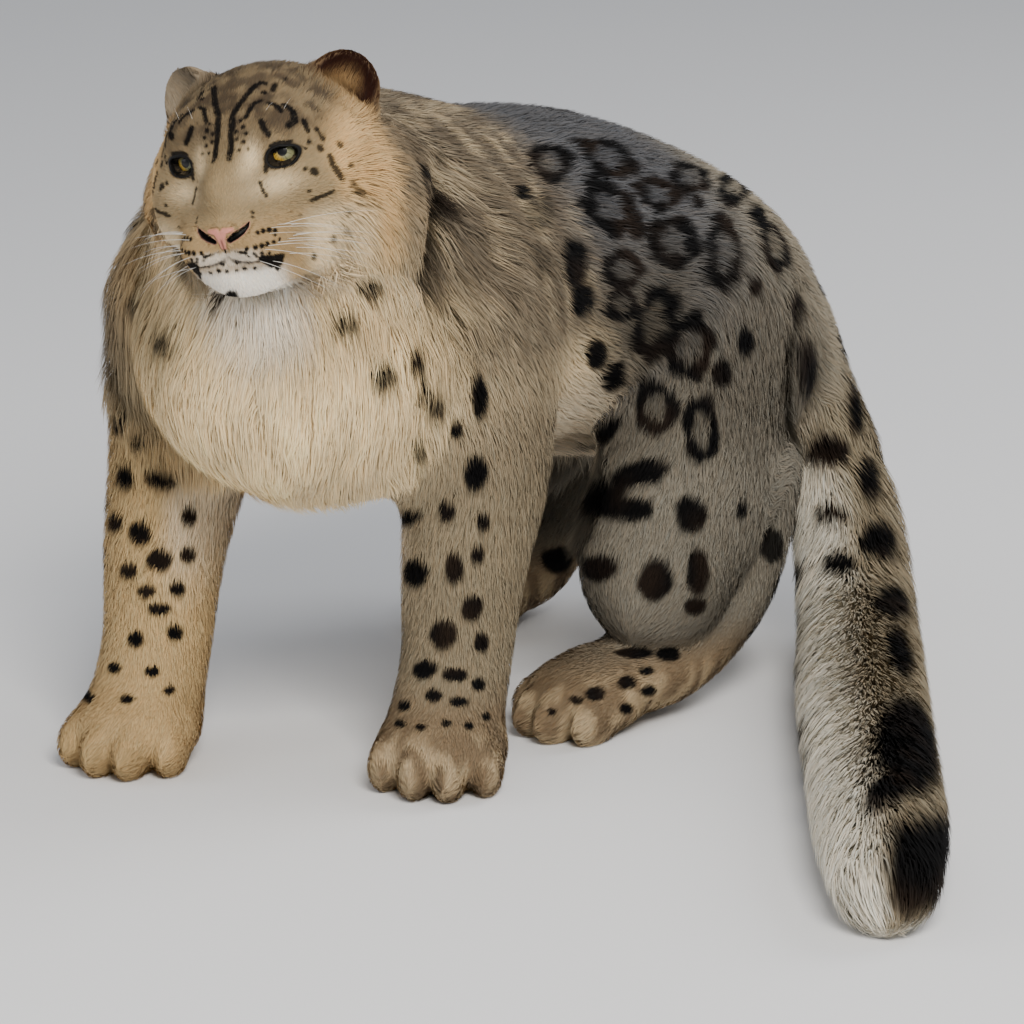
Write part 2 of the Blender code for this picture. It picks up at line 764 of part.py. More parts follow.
def ellipsoid(name, centre, half, collection, turned=HEAD_TURN, segments=(20, 12), grow=0.0):
    sizes = Matrix.Diagonal([size + grow for size in half]).to_4x4()
    place = Matrix.Translation(centre) @ turned.to_4x4() @ sizes
    return new_object(
        name,
        mesh_of(
            lambda shape: bmesh.ops.create_uvsphere(
                shape, u_segments=segments[0], v_segments=segments[1], radius=1, matrix=place
            )
        ),
        collection,
    )


def tube(name, points, radius, collection):
    """A closed tube of one radius with ends that taper, through the points."""
    curve = bpy.data.curves.new(name, "CURVE")
    curve.dimensions = "3D"
    curve.bevel_depth = radius
    curve.bevel_resolution = 0
    curve.use_fill_caps = True
    line = curve.splines.new("POLY")
    line.points.add(len(points) - 1)
    for spot, point in zip(line.points, points):
        spot.co = (*point, 1)
    line.points[0].radius = line.points[-1].radius = 0.4
    made = bpy.data.objects.new(name, curve)
    collection.objects.link(made)
    graph = bpy.context.evaluated_depsgraph_get()
    mesh = bpy.data.meshes.new_from_object(made.evaluated_get(graph))
    bpy.data.objects.remove(made)
    shape = bmesh.new()
    shape.from_mesh(mesh)
    bmesh.ops.remove_doubles(shape, verts=shape.verts, dist=0.00001)
    bmesh.ops.recalc_face_normals(shape, faces=shape.faces)
    shape.to_mesh(mesh)
    shape.free()
    return new_object(name, mesh, collection)


def on_surface(points):
    """Points of the head's frame, moved in or out along the view from the head onto its outline."""
    found = np.array([on_head(point) for point in points])
    middle = np.array(on_head((0, -0.02, -0.03)))
    way = found - middle
    way /= np.linalg.norm(way, axis=1)[:, None]
    for _ in range(12):
        found -= way * coat_distance(found)[:, None]
    return [Vector(point) for point in found]


# The right half of the mouth line, from the philtrum to the corner, and the philtrum itself
MOUTH_LINE = (
    (0.0, -0.125, -0.047),
    (0.009, -0.120, -0.0525),
    (0.019, -0.110, -0.0550),
    (0.030, -0.092, -0.0530),
    (0.039, -0.070, -0.0480),
)
PHILTRUM = ((0, -0.122, -0.036), (0, -0.123, -0.042), (0, -0.122, -0.048))
LINE_RADIUS = 0.0016

# The opening between the lids: half width, half height, and how the corners sit
EYE_OPENING = (0.0145, 0.0098)
EYE_SLANT = 12.0
EYE_WAY = Vector((0.36, -1.0, 0.02)).normalized()


def eye_axes(side):
    """The eye's own axes: across, out along the gaze, and up."""
    out = Vector((EYE_WAY.x * side, EYE_WAY.y, EYE_WAY.z))
    across = Vector((0, 0, 1)).cross(out).normalized() * -1
    up = out.cross(across).normalized() * -1
    spin = Matrix.Rotation(math.radians(EYE_SLANT * side), 3, out)
    return HEAD_TURN @ Matrix((spin @ across, out, spin @ up)).transposed()


def eye_opening(side, collection):
    """An almond prism out from the middle of the eyeball."""
    half_wide, half_high = EYE_OPENING
    rim = []
    for step in range(16):
        angle = 2 * math.pi * step / 16
        bow = abs(math.sin(angle)) ** 1.15
        rim.append((half_wide * math.cos(angle), half_high * math.copysign(bow, math.sin(angle))))
    axes = eye_axes(side)
    middle = on_head(mirrored(EYE_AT, side))

    def draw(shape):
        rings = []
        for out, scale in ((0.002, 0.85), (0.040, 1.35)):
            ring = [shape.verts.new(middle + axes @ Vector((x * scale, out, z * scale))) for x, z in rim]
            rings.append(ring)
        shape.faces.new(rings[0])
        shape.faces.new(reversed(rings[1]))
        for i in range(16):
            j = (i + 1) % 16
            shape.faces.new((rings[0][j], rings[0][i], rings[1][i], rings[1][j]))
        bmesh.ops.recalc_face_normals(shape, faces=shape.faces)

    return new_object("opening", mesh_of(draw), collection)


def cut_head(head, collection):
    """Sockets, openings of the lids, nostrils and the line of the mouth."""
    for side in (1, -1):
        middle = on_head(mirrored(EYE_AT, side))
        boolean(head, eye_opening(side, collection), "DIFFERENCE")
        socket = ellipsoid("socket", middle, (EYE_RADIUS + 2 * GAP,) * 3, collection, segments=(16, 10))
        boolean(head, socket, "DIFFERENCE")
        nostril = ellipsoid(
            "nostril", on_head(mirrored((0.0075, -0.1195, -0.0275), side)), (0.0042, 0.0060, 0.0026),
            collection, HEAD_TURN @ turn("Y", -35 * side), (8, 6),
        )
        boolean(head, nostril, "DIFFERENCE")
        line = on_surface([mirrored(point, side) for point in MOUTH_LINE])
        boolean(head, tube("mouth", line, LINE_RADIUS, collection), "DIFFERENCE")
    boolean(head, tube("philtrum", on_surface(PHILTRUM), LINE_RADIUS * 0.7, collection), "DIFFERENCE")


def ear(side, name, collection):
    """A short round ear, cupped in front."""
    lean = HEAD_TURN @ turn("Z", 24 * side) @ turn("Y", 30 * side) @ turn("X", -6)
    middle = on_head(mirrored(EAR_AT, side))
    outer = ellipsoid(name, middle, EAR_HALF, collection, lean, (14, 9))
    cup_half = (EAR_HALF[0] - EAR_WALL, EAR_HALF[1] - EAR_WALL / 2, EAR_HALF[2] - EAR_WALL)
    cup_at = middle + lean @ Vector((0, -0.012, 0.004))
    cup = ellipsoid("cup", cup_at, cup_half, collection, lean, (12, 8))
    socket = ellipsoid("ear_socket", middle, EAR_HALF, collection, lean, (14, 9), GAP * 1.5)
    return boolean(outer, cup, "DIFFERENCE"), socket


def build():
    for obj in list(bpy.data.objects):
        bpy.data.objects.remove(obj)
    collection = bpy.data.collections.new("snow_leopard")
    bpy.context.scene.collection.children.link(collection)

    head = reduced(outline(HEAD_PARTS + TRUNK_FORMS, HEAD_STEP, collection), HEAD_SHARE)
    body = reduced(outline(all_forms(), BODY_STEP, collection), BODY_SHARE)
    body.name = "torso"

    outside(body, FLOOR_REGION, collection, grow=0)
    outside(body, HEAD_REGION, collection)
    boolean(body, new_object("plate", block_mesh(TAIL_PLATE, 0), collection), "DIFFERENCE", False)
    tail = split_loose(body, "tail_upper", collection)
    for source, regions in ((tail, TAIL_REGIONS), (body, LIMB_REGIONS)):
        for name, region in regions.items():
            inside(source, region, name, collection)
            outside(source, region, collection)
    inside(body, NECK_REGION, "neck", collection)
    outside(body, NECK_REGION, collection)

    trimmed = inside(head, HEAD_REGION, "head", collection)
    bpy.data.objects.remove(head)
    for side, name in ((1, "left"), (-1, "right")):
        _, socket = ear(side, "ear_" + name, collection)
        boolean(trimmed, socket, "DIFFERENCE")
    cut_head(trimmed, collection)
    for side, name in ((1, "left"), (-1, "right")):
        ellipsoid("eye_" + name, on_head(mirrored(EYE_AT, side)), (EYE_RADIUS,) * 3, collection,
                  segments=(14, 8))
    for name in LOCK_NODES:
        add_locks(collection.objects[name])
    nose = new_object("nose", trimmed.data.copy(), collection)
    pad = on_head((0, -0.119, -0.0265))
    nose_half = (0.0165, 0.0125, 0.0115)
    boolean(nose, ellipsoid("pad", pad, nose_half, collection, segments=(14, 9)), "INTERSECT")
    hole = ellipsoid("pad", pad, nose_half, collection, segments=(14, 9), grow=GAP * 1.5)
    boolean(trimmed, hole, "DIFFERENCE")

    for obj in collection.objects:
        keep_largest(without_slivers(obj))
    corners = np.vstack([[v.co for v in obj.data.vertices] for obj in collection.objects])
    middle = (corners.min(0) + corners.max(0)) / 2
    for obj in collection.objects:
        obj.data.transform(Matrix.Translation((-middle[0], -middle[1], 0)))
        obj.data.materials.clear()


build()
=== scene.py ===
import math

import bmesh
import bpy
import numpy as np
from mathutils import Matrix, Vector
from mathutils.bvhtree import BVHTree
from mathutils.kdtree import KDTree


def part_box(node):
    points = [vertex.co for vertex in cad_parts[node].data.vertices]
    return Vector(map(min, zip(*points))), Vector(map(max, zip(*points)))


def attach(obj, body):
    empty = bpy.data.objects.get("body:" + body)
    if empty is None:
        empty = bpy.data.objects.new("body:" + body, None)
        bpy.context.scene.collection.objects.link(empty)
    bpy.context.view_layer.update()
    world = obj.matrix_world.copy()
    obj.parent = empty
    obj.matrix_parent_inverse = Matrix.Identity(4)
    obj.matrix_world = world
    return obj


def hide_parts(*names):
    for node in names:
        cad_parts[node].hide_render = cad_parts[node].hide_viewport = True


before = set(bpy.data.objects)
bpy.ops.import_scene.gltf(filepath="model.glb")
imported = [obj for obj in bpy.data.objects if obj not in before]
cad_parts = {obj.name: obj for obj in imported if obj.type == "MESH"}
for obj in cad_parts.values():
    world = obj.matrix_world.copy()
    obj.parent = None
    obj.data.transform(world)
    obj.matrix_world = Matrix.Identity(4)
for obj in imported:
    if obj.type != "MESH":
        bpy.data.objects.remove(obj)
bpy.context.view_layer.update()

# Forms of the body, as in the part's source, in the animal's own frame
WITHERS = 0.535
EYE_RADIUS = 0.0150
LID_THICKNESS = 0.0028
FORELEG_SIZES = {
    "shoulder": (0.064, 0.095),
    "elbow": (0.058, 0.074),
    "forearm": (0.051, 0.056),
    "wrist": (0.046, 0.048),
    "pastern": (0.048, 0.048),
}
THIGH_SIZES = {"hip": (0.080, 0.118), "mid_thigh": (0.074, 0.104), "knee": (0.064, 0.078)}
SHANK_SIZES = {
    "knee": (0.050, 0.055),
    "calf": (0.042, 0.050),
    "hock": (0.035, 0.040),
    "cannon": (0.036, 0.038),
    "instep": (0.042, 0.038),
    "toe_root": (0.046, 0.034),
}
FORELEG_JOINTS = {
    "left": {
        "shoulder": (0.120, -0.225, 0.380),
        "elbow": (0.145, -0.225, 0.270),
        "forearm": (0.147, -0.243, 0.175),
        "wrist": (0.145, -0.250, 0.100),
        "pastern": (0.145, -0.262, 0.052),
    },
    "right": {
        "shoulder": (-0.093, -0.305, 0.375),
        "elbow": (-0.098, -0.315, 0.270),
        "forearm": (-0.094, -0.345, 0.175),
        "wrist": (-0.086, -0.365, 0.100),
        "pastern": (-0.084, -0.380, 0.052),
    },
}
THIGH_JOINTS = {
    "left": {
        "hip": (0.110, 0.130, 0.285),
        "mid_thigh": (0.152, 0.045, 0.205),
        "knee": (0.172, -0.018, 0.135),
    },
    "right": {
        "hip": (-0.060, 0.150, 0.285),
        "mid_thigh": (-0.105, 0.110, 0.210),
        "knee": (-0.120, 0.075, 0.165),
    },
}
SHANK_JOINTS = {
    "left": {
        "knee": (0.176, -0.020, 0.128),
        "calf": (0.182, 0.045, 0.162),
        "hock": (0.184, 0.110, 0.192),
        "cannon": (0.185, 0.075, 0.100),
        "instep": (0.175, 0.000, 0.050),
        "toe_root": (0.160, -0.075, 0.038),
    },
    "right": {
        "knee": (-0.122, 0.075, 0.150),
        "calf": (-0.115, 0.150, 0.165),
        "hock": (-0.105, 0.232, 0.180),
        "cannon": (-0.108, 0.205, 0.105),
        "instep": (-0.112, 0.155, 0.050),
        "toe_root": (-0.115, 0.095, 0.038),
    },
}
TRUNK = (
    (0.035, -0.335, 0.365, 0.125, 0.130),
    (0.025, -0.260, 0.380, 0.162, 0.165),
    (0.008, -0.130, WITHERS - 0.168, 0.160, 0.158),
    (0.000, 0.000, 0.352, 0.160, 0.155),
    (0.010, 0.095, 0.328, 0.155, 0.146),
    (0.026, 0.170, 0.298, 0.142, 0.135),
    (0.042, 0.222, 0.268, 0.112, 0.108),
)
NECK = (
    (0.012, -0.180, 0.415, 0.118, 0.112),
    (0.028, -0.265, 0.440, 0.130, 0.120),
    (0.045, -0.325, 0.465, 0.118, 0.110),
    (0.062, -0.360, 0.488, 0.094, 0.092),
)
TAIL = (
    (0.048, 0.238, 0.268, 0.055, 0.055),
    (0.092, 0.282, 0.222, 0.050, 0.050),
    (0.166, 0.256, 0.125, 0.053, 0.053),
    (0.245, 0.172, 0.056, 0.056, 0.056),
    (0.330, 0.062, 0.046, 0.058, 0.056),
    (0.420, -0.053, 0.046, 0.058, 0.056),
    (0.510, -0.165, 0.046, 0.057, 0.055),
    (0.596, -0.272, 0.044, 0.055, 0.053),
    (0.652, -0.343, 0.036, 0.045, 0.043),
)
HEAD_AT = Vector((0.071, -0.395, 0.523))
HEAD_YAW, HEAD_PITCH, HEAD_ROLL = 23.0, 3.0, 9.0
EYE_AT = Vector((0.0370, -0.0495, 0.0205))
NOSE_AT = Vector((0.0, -0.1180, -0.0260))
HEAD_FORMS = {
    "skull": ((0.0, 0.012, 0.008), (0.072, 0.086, 0.066), 0.010),
    "crown": ((0.0, -0.012, 0.032), (0.050, 0.058, 0.038), 0.030),
    "cheek": ((0.045, -0.010, -0.022), (0.044, 0.052, 0.044), 0.030),
    "ruff": ((0.055, 0.022, -0.040), (0.046, 0.040, 0.050), 0.030),
    "brow": ((0.034, -0.045, 0.040), (0.020, 0.018, 0.012), 0.020),
    "cheekbone": ((0.046, -0.048, -0.008), (0.022, 0.022, 0.016), 0.018),
    "bridge": ((0.0, -0.074, 0.002), (0.022, 0.044, 0.026), 0.022),
    "muzzle": ((0.0, -0.076, -0.031), (0.040, 0.040, 0.030), 0.020),
    "lip": ((0.020, -0.094, -0.040), (0.024, 0.024, 0.020), 0.012),
    "chin": ((0.0, -0.080, -0.066), (0.028, 0.028, 0.020), 0.014),
    "throat": ((0.0, -0.012, -0.085), (0.060, 0.058, 0.062), 0.030),
    "jaw": ((0.024, -0.045, -0.056), (0.026, 0.042, 0.022), 0.020),
    "nose_pad": ((0.0, -0.108, -0.026), (0.015, 0.012, 0.011), 0.008),
    "lids": (tuple(EYE_AT), (EYE_RADIUS + LID_THICKNESS,) * 3, 0.010),
}
EAR_AT = Vector((0.062, 0.028, 0.046))
EAR_HALF = (0.032, 0.019, 0.036)
EAR_WALL = 0.006
TRUNK_BLEND = 0.045
LEG_BLEND = 0.040
PAW_BLEND = 0.016
TOE_BLEND = 0.006
NECK_BLEND = 0.060
EYE_WAY = Vector((0.36, -1.0, 0.02)).normalized()

# The skin and its coat
SKIN_STEP = 0.0042
FAR = 1.0

# The photograph's view, in the animal's frame, and features of its left side of the face, in pixels:
# the edge of the lids, the middle of each iris, the mouth, and the nose with half widths
VIEW_AZIMUTH, VIEW_ELEVATION, VIEW_DISTANCE, VIEW_ANGLE = 40.0, 15.0, 4.6, 11.05
VIEW_TARGET = Vector((0.02, -0.03, 0.155))
PICTURE = 1024
LID_EDGE = (
    (268, 161), (268, 154), (270, 149), (276, 146), (285, 145), (293, 145), (299, 147), (298, 152),
    (294, 158), (288, 162), (281, 163), (273, 164),
)
IRIS_AT = {1: (282, 151), -1: (185, 163)}
MOUTH_PIXELS = ((226, 259), (232, 262), (244, 264), (256, 264), (266, 261), (277, 262))
PHILTRUM_PIXELS = ((222, 248), (225, 259))
NOSE_PIXELS = ((231, 230), (223, 232), (219, 240), (221, 248))
NOSE_REACH = (1.6, 3.0, 3.6, 2.6)
NOSTRIL_PIXELS = ((229, 241), (235, 236), (241, 232), (246, 227), (248, 223))
NOSTRIL_REACH = (2.8, 4.0, 3.4, 2.2, 1.0)
FACE_PIXEL = 0.00080


def turn(axis, degrees):
    return Matrix.Rotation(math.radians(degrees), 3, axis)


HEAD_TURN = turn("Z", HEAD_YAW) @ turn("X", HEAD_PITCH) @ turn("Y", -HEAD_ROLL)


def on_head(point):
    """A point of the head's own frame, in the animal's frame."""
    return HEAD_AT + HEAD_TURN @ Vector(point)


def mirrored(point, side):
    return Vector((point[0] * side, point[1], point[2]))


def unit(vectors):
    return vectors / np.maximum(np.linalg.norm(vectors, axis=1), 1e-9)[:, None]


def ramp(values, low, high):
    """0 below low, 1 above high, smooth between."""
    t = np.clip((values - low) / (high - low), 0, 1)
    return t * t * (3 - 2 * t)


def noise(points, scale, seed=0):
    """Smooth values from 0 to 1 that vary over lengths of about 1 / scale."""
    spots = points * scale
    cell = np.floor(spots)
    inside = spots - cell
    inside = inside * inside * (3 - 2 * inside)
    total = np.zeros(len(points))
    for corner in np.ndindex(2, 2, 2):
        at = cell + corner
        value = np.sin(at[:, 0] * 127.1 + at[:, 1] * 311.7 + at[:, 2] * 74.7 + seed * 53.3) * 43758.5453
        share = np.prod(np.where(np.array(corner) == 1, inside, 1 - inside), axis=1)
        total += (value - np.floor(value)) * share
    return total


def smooth_stations(stations, between=4):
    """A Catmull-Rom curve through the stations, each with its place and half sizes."""
    given = np.array(stations, float)
    ends = np.vstack([2 * given[0] - given[1], given, 2 * given[-1] - given[-2]])
    found = []
    for a, b, c, d in zip(ends, ends[1:], ends[2:], ends[3:]):
        for t in np.linspace(0, 1, between, endpoint=False):
            found.append(
                0.5 * (2 * b + (c - a) * t + (2 * a - 5 * b + 4 * c - d) * t**2
                       + (3 * b - a - 3 * c + d) * t**3)
            )
    return np.array(found + [given[-1]])


def smooth_min(a, b, soft):
    h = np.clip(0.5 + 0.5 * (b - a) / soft, 0, 1)
    return b * (1 - h) + a * h - soft * h * (1 - h)


class Form:
    """A shape whose distance is worked out only for points within 120 mm of its box."""

    def bound(self, low, high):
        self.low = low - 0.12
        self.high = high + 0.12

    def distance(self, points):
        near = ((points > self.low) & (points < self.high)).all(axis=1)
        found = np.full(len(points), FAR)
        if near.any():
            found[near] = self.exact(points[near])
        return found


class Limb(Form):
    """A tube with an elliptical section that changes along a smooth line."""

    def __init__(self, stations, across=(1, 0, 0)):
        self.stations = smooth_stations(stations)
        self.across = np.array(across, float)
        size = self.stations[:, 3:].max()
        self.bound(self.stations[:, :3].min(0) - size, self.stations[:, :3].max(0) + size)

    def frame(self, a, b):
        along = (b - a) / np.linalg.norm(b - a)
        side = self.across - along * (self.across @ along)
        return along, side / np.linalg.norm(side)

    def exact(self, points):
        best = np.full(len(points), 9.0)
        for a, b in zip(self.stations, self.stations[1:]):
            _, side = self.frame(a[:3], b[:3])
            step = b[:3] - a[:3]
            t = np.clip((points - a[:3]) @ step / (step @ step), 0, 1)
            off = points - (a[:3] + t[:, None] * step)
            wide = a[3] + (b[3] - a[3]) * t
            deep = a[4] + (b[4] - a[4]) * t
            sideways = off @ side
            rest = np.sqrt(np.maximum((off**2).sum(1) - sideways**2, 0))
            near = np.hypot(sideways / wide, rest / deep)
            slope = np.hypot(sideways / wide**2, rest / deep**2)
            best = np.minimum(best, near * (near - 1) / np.maximum(slope, 1e-6))
        return best

    def way(self, points):
        """The way along the limb at its nearest station, and how far along that is, 0 to 1."""
        line = self.stations[:, :3]
        gap = [np.linalg.norm(points - spot, axis=1) for spot in line]
        nearest = np.argmin(gap, axis=0)
        after = np.minimum(nearest + 1, len(line) - 1)
        before = np.maximum(nearest - 1, 0)
        return unit(line[after] - line[before]), nearest / (len(line) - 1)

    def beads(self, sunk):
        for before, here, after in zip(
            np.vstack([self.stations[:1], self.stations]), self.stations,
            np.vstack([self.stations[1:], self.stations[-1:]]),
        ):
            along, side = self.frame(before[:3], after[:3])
            other = np.cross(along, side)
            wide, deep = here[3] - sunk, here[4] - sunk
            yield here[:3], np.column_stack([side * wide, other * deep, along * deep])


class Ball(Form):
    """An ellipsoid, turned as its matrix says."""

    def __init__(self, centre, half, turned=None):
        self.centre = np.array(centre, float)
        self.half = np.array(half, float)
        self.turned = np.array(turned if turned is not None else Matrix.Identity(3), float)
        self.bound(self.centre - self.half.max(), self.centre + self.half.max())

    def exact(self, points):
        local = (points - self.centre) @ self.turned
        near = np.linalg.norm(local / self.half, axis=1)
        slope = np.linalg.norm(local / self.half**2, axis=1)
        return near * (near - 1) / np.maximum(slope, 1e-6)

    def beads(self, sunk):
        yield self.centre, self.turned * np.maximum(self.half - sunk, self.half * 0.6)


def leg_stations(joints, sizes):
    return [(*joints[name], *sizes[name]) for name in sizes]


def paw_forms(toe_root, heading, length, width):
    """The pad of a paw and its four toes. Heading is the way it points, in degrees from -Y."""
    way = turn("Z", heading)
    ground = Vector((toe_root[0], toe_root[1], 0))
    pad = Ball(ground + way @ Vector((0, -0.25 * length, 0.030)), (width / 2, length / 2, 0.037), way)
    toes = []
    for place in (-1.5, -0.5, 0.5, 1.5):
        forward = 0.62 * length - 0.010 * place**2
        spot = ground + way @ Vector((place * width * 0.235, -forward, 0.021))
        toes.append(Ball(spot, (width * 0.150, 0.030, 0.026), way @ turn("Z", place * 9)))
    return [(pad, PAW_BLEND)] + [(toe, TOE_BLEND) for toe in toes]


PAWS = {
    "forepaw_left": (FORELEG_JOINTS["left"]["pastern"], 30, 0.110, 0.112),
    "forepaw_right": (FORELEG_JOINTS["right"]["pastern"], 20, 0.110, 0.112),
    "hindpaw_left": (SHANK_JOINTS["left"]["toe_root"], -12, 0.098, 0.100),
    "hindpaw_right": (SHANK_JOINTS["right"]["toe_root"], -4, 0.098, 0.100),
}


def leg_forms():
    """Each leg as a list of forms and the softness with which each joins those before it."""
    legs = {}
    for side in ("left", "right"):
        fore = Limb(leg_stations(FORELEG_JOINTS[side], FORELEG_SIZES))
        legs["fore_" + side] = [(fore, 0)] + paw_forms(*PAWS["forepaw_" + side])
        thigh = Limb(leg_stations(THIGH_JOINTS[side], THIGH_SIZES))
        shank = Limb(leg_stations(SHANK_JOINTS[side], SHANK_SIZES))
        legs["hind_" + side] = [(thigh, 0), (shank, 0.018)] + paw_forms(*PAWS["hindpaw_" + side])
    return legs


def head_forms():
    forms = []
    for centre, half, soft in HEAD_FORMS.values():
        for side in (1, -1) if centre[0] else (1,):
            forms.append((Ball(on_head(mirrored(centre, side)), half, HEAD_TURN), soft))
    return forms


def ear_forms(side):
    """The outside of an ear and the cup in it."""
    lean = HEAD_TURN @ turn("Z", 24 * side) @ turn("Y", 30 * side) @ turn("X", -6)
    middle = on_head(mirrored(EAR_AT, side))
    cup_half = (EAR_HALF[0] - EAR_WALL, EAR_HALF[1] - EAR_WALL / 2, EAR_HALF[2] - EAR_WALL)
    cup_at = middle + lean @ Vector((0, -0.012, 0.004))
    return Ball(middle, EAR_HALF, lean), Ball(cup_at, cup_half, lean)


def joined(forms, points):
    total = forms[0][0].distance(points)
    for form, soft in forms[1:]:
        total = smooth_min(total, form.distance(points), soft)
    return total


TRUNK_FORMS = [(Limb(TRUNK), 0), (Limb(NECK), TRUNK_BLEND)]
LEG_FORMS = leg_forms()
TAIL_FORM = Limb(TAIL)
HEAD_PARTS = head_forms()
EARS = [ear_forms(side) for side in (1, -1)]
PARTS = ("trunk", "head", "fore_left", "fore_right", "hind_left", "hind_right", "tail")


def part_distances(points):
    """How far each point lies outside each part of the animal's outline."""
    found = {"trunk": joined(TRUNK_FORMS, points), "head": joined(HEAD_PARTS, points)}
    for name, forms in LEG_FORMS.items():
        found[name] = joined(forms, points)
    found["tail"] = TAIL_FORM.distance(points)
    return found


def outline_distance(points, parts=None):
    """How far each point lies outside the tips of the coat, negative inside them."""
    parts = parts or part_distances(points)
    trunk = parts["trunk"]
    whole = smooth_min(trunk, parts["head"], NECK_BLEND)
    for name in LEG_FORMS:
        whole = np.minimum(whole, smooth_min(trunk, parts[name], LEG_BLEND))
    whole = np.minimum(whole, smooth_min(trunk, parts["tail"], TRUNK_BLEND))
    for outer, cup in EARS:
        shell = -smooth_min(-outer.distance(points), cup.distance(points), 0.004)
        whole = smooth_min(whole, shell, 0.004)
    return whole


def view_back():
    """The way from the animal back to the photograph's camera."""
    around, above = math.radians(VIEW_AZIMUTH), math.radians(VIEW_ELEVATION)
    return Vector((math.sin(around) * math.cos(above), -math.cos(around) * math.cos(above), math.sin(above)))


BACK = view_back()
RIGHT = Vector((0, 0, 1)).cross(BACK).normalized()
UP = BACK.cross(RIGHT)
VIEW_AT = VIEW_TARGET + BACK * VIEW_DISTANCE
PIXEL = 2 * math.tan(math.radians(VIEW_ANGLE) / 2) / PICTURE


def sight(pixels):
    """The lines of sight through these pixels of the photograph."""
    pixels = np.array(pixels, float)
    return unit(
        -np.array(BACK)
        + (pixels[:, :1] - PICTURE / 2) * PIXEL * np.array(RIGHT)
        + (PICTURE / 2 - pixels[:, 1:2]) * PIXEL * np.array(UP)
    )


def surface_at(pixels):
    """Where the lines of sight through these pixels of the photograph first meet the coat."""
    ways = sight(pixels)
    found = np.array(VIEW_AT) + ways * (VIEW_DISTANCE - 0.75)
    for _ in range(60):
        found += ways * np.clip(outline_distance(found) * 0.7, -0.02, 0.05)[:, None]
    return found


# Where the coat is long: its forms, how deep the skin lies, and the fur's length
LONG_ZONES = {
    "bib": (
        (
            Ball((0.030, -0.360, 0.370), (0.160, 0.130, 0.120)),
            Ball((0.040, -0.270, 0.440), (0.150, 0.080, 0.080)),
        ),
        0.018, 0.046,
    ),
    "belly": ((Ball((0.005, -0.020, 0.195), (0.130, 0.220, 0.060)),), 0.020, 0.055),
    "cheek": (
        [
            Ball(on_head((0.076 * side, 0.005, -0.050)), (0.034, 0.045, 0.055), HEAD_TURN)
            for side in (1, -1)
        ],
        0.010, 0.032,
    ),
    "breech": (
        (
            Ball((0.150, 0.190, 0.230), (0.060, 0.060, 0.100)),
            Ball((-0.090, 0.260, 0.240), (0.070, 0.060, 0.100)),
        ),
        0.014, 0.036,
    ),
    "tail": ((Limb(TAIL[2:]),), 0.014, 0.036),
}
ZONE_FADE = 0.030


def in_head(points):
    """The points in the head's own frame."""
    return (points - np.array(HEAD_AT)) @ np.array(HEAD_TURN)


def weights_of(parts):
    """How much each point belongs to each part of the body."""
    near = np.stack([parts[name] for name in PARTS])
    near = near - near.min(axis=0)
    weights = np.exp(-near / 0.012)
    return weights / weights.sum(axis=0)


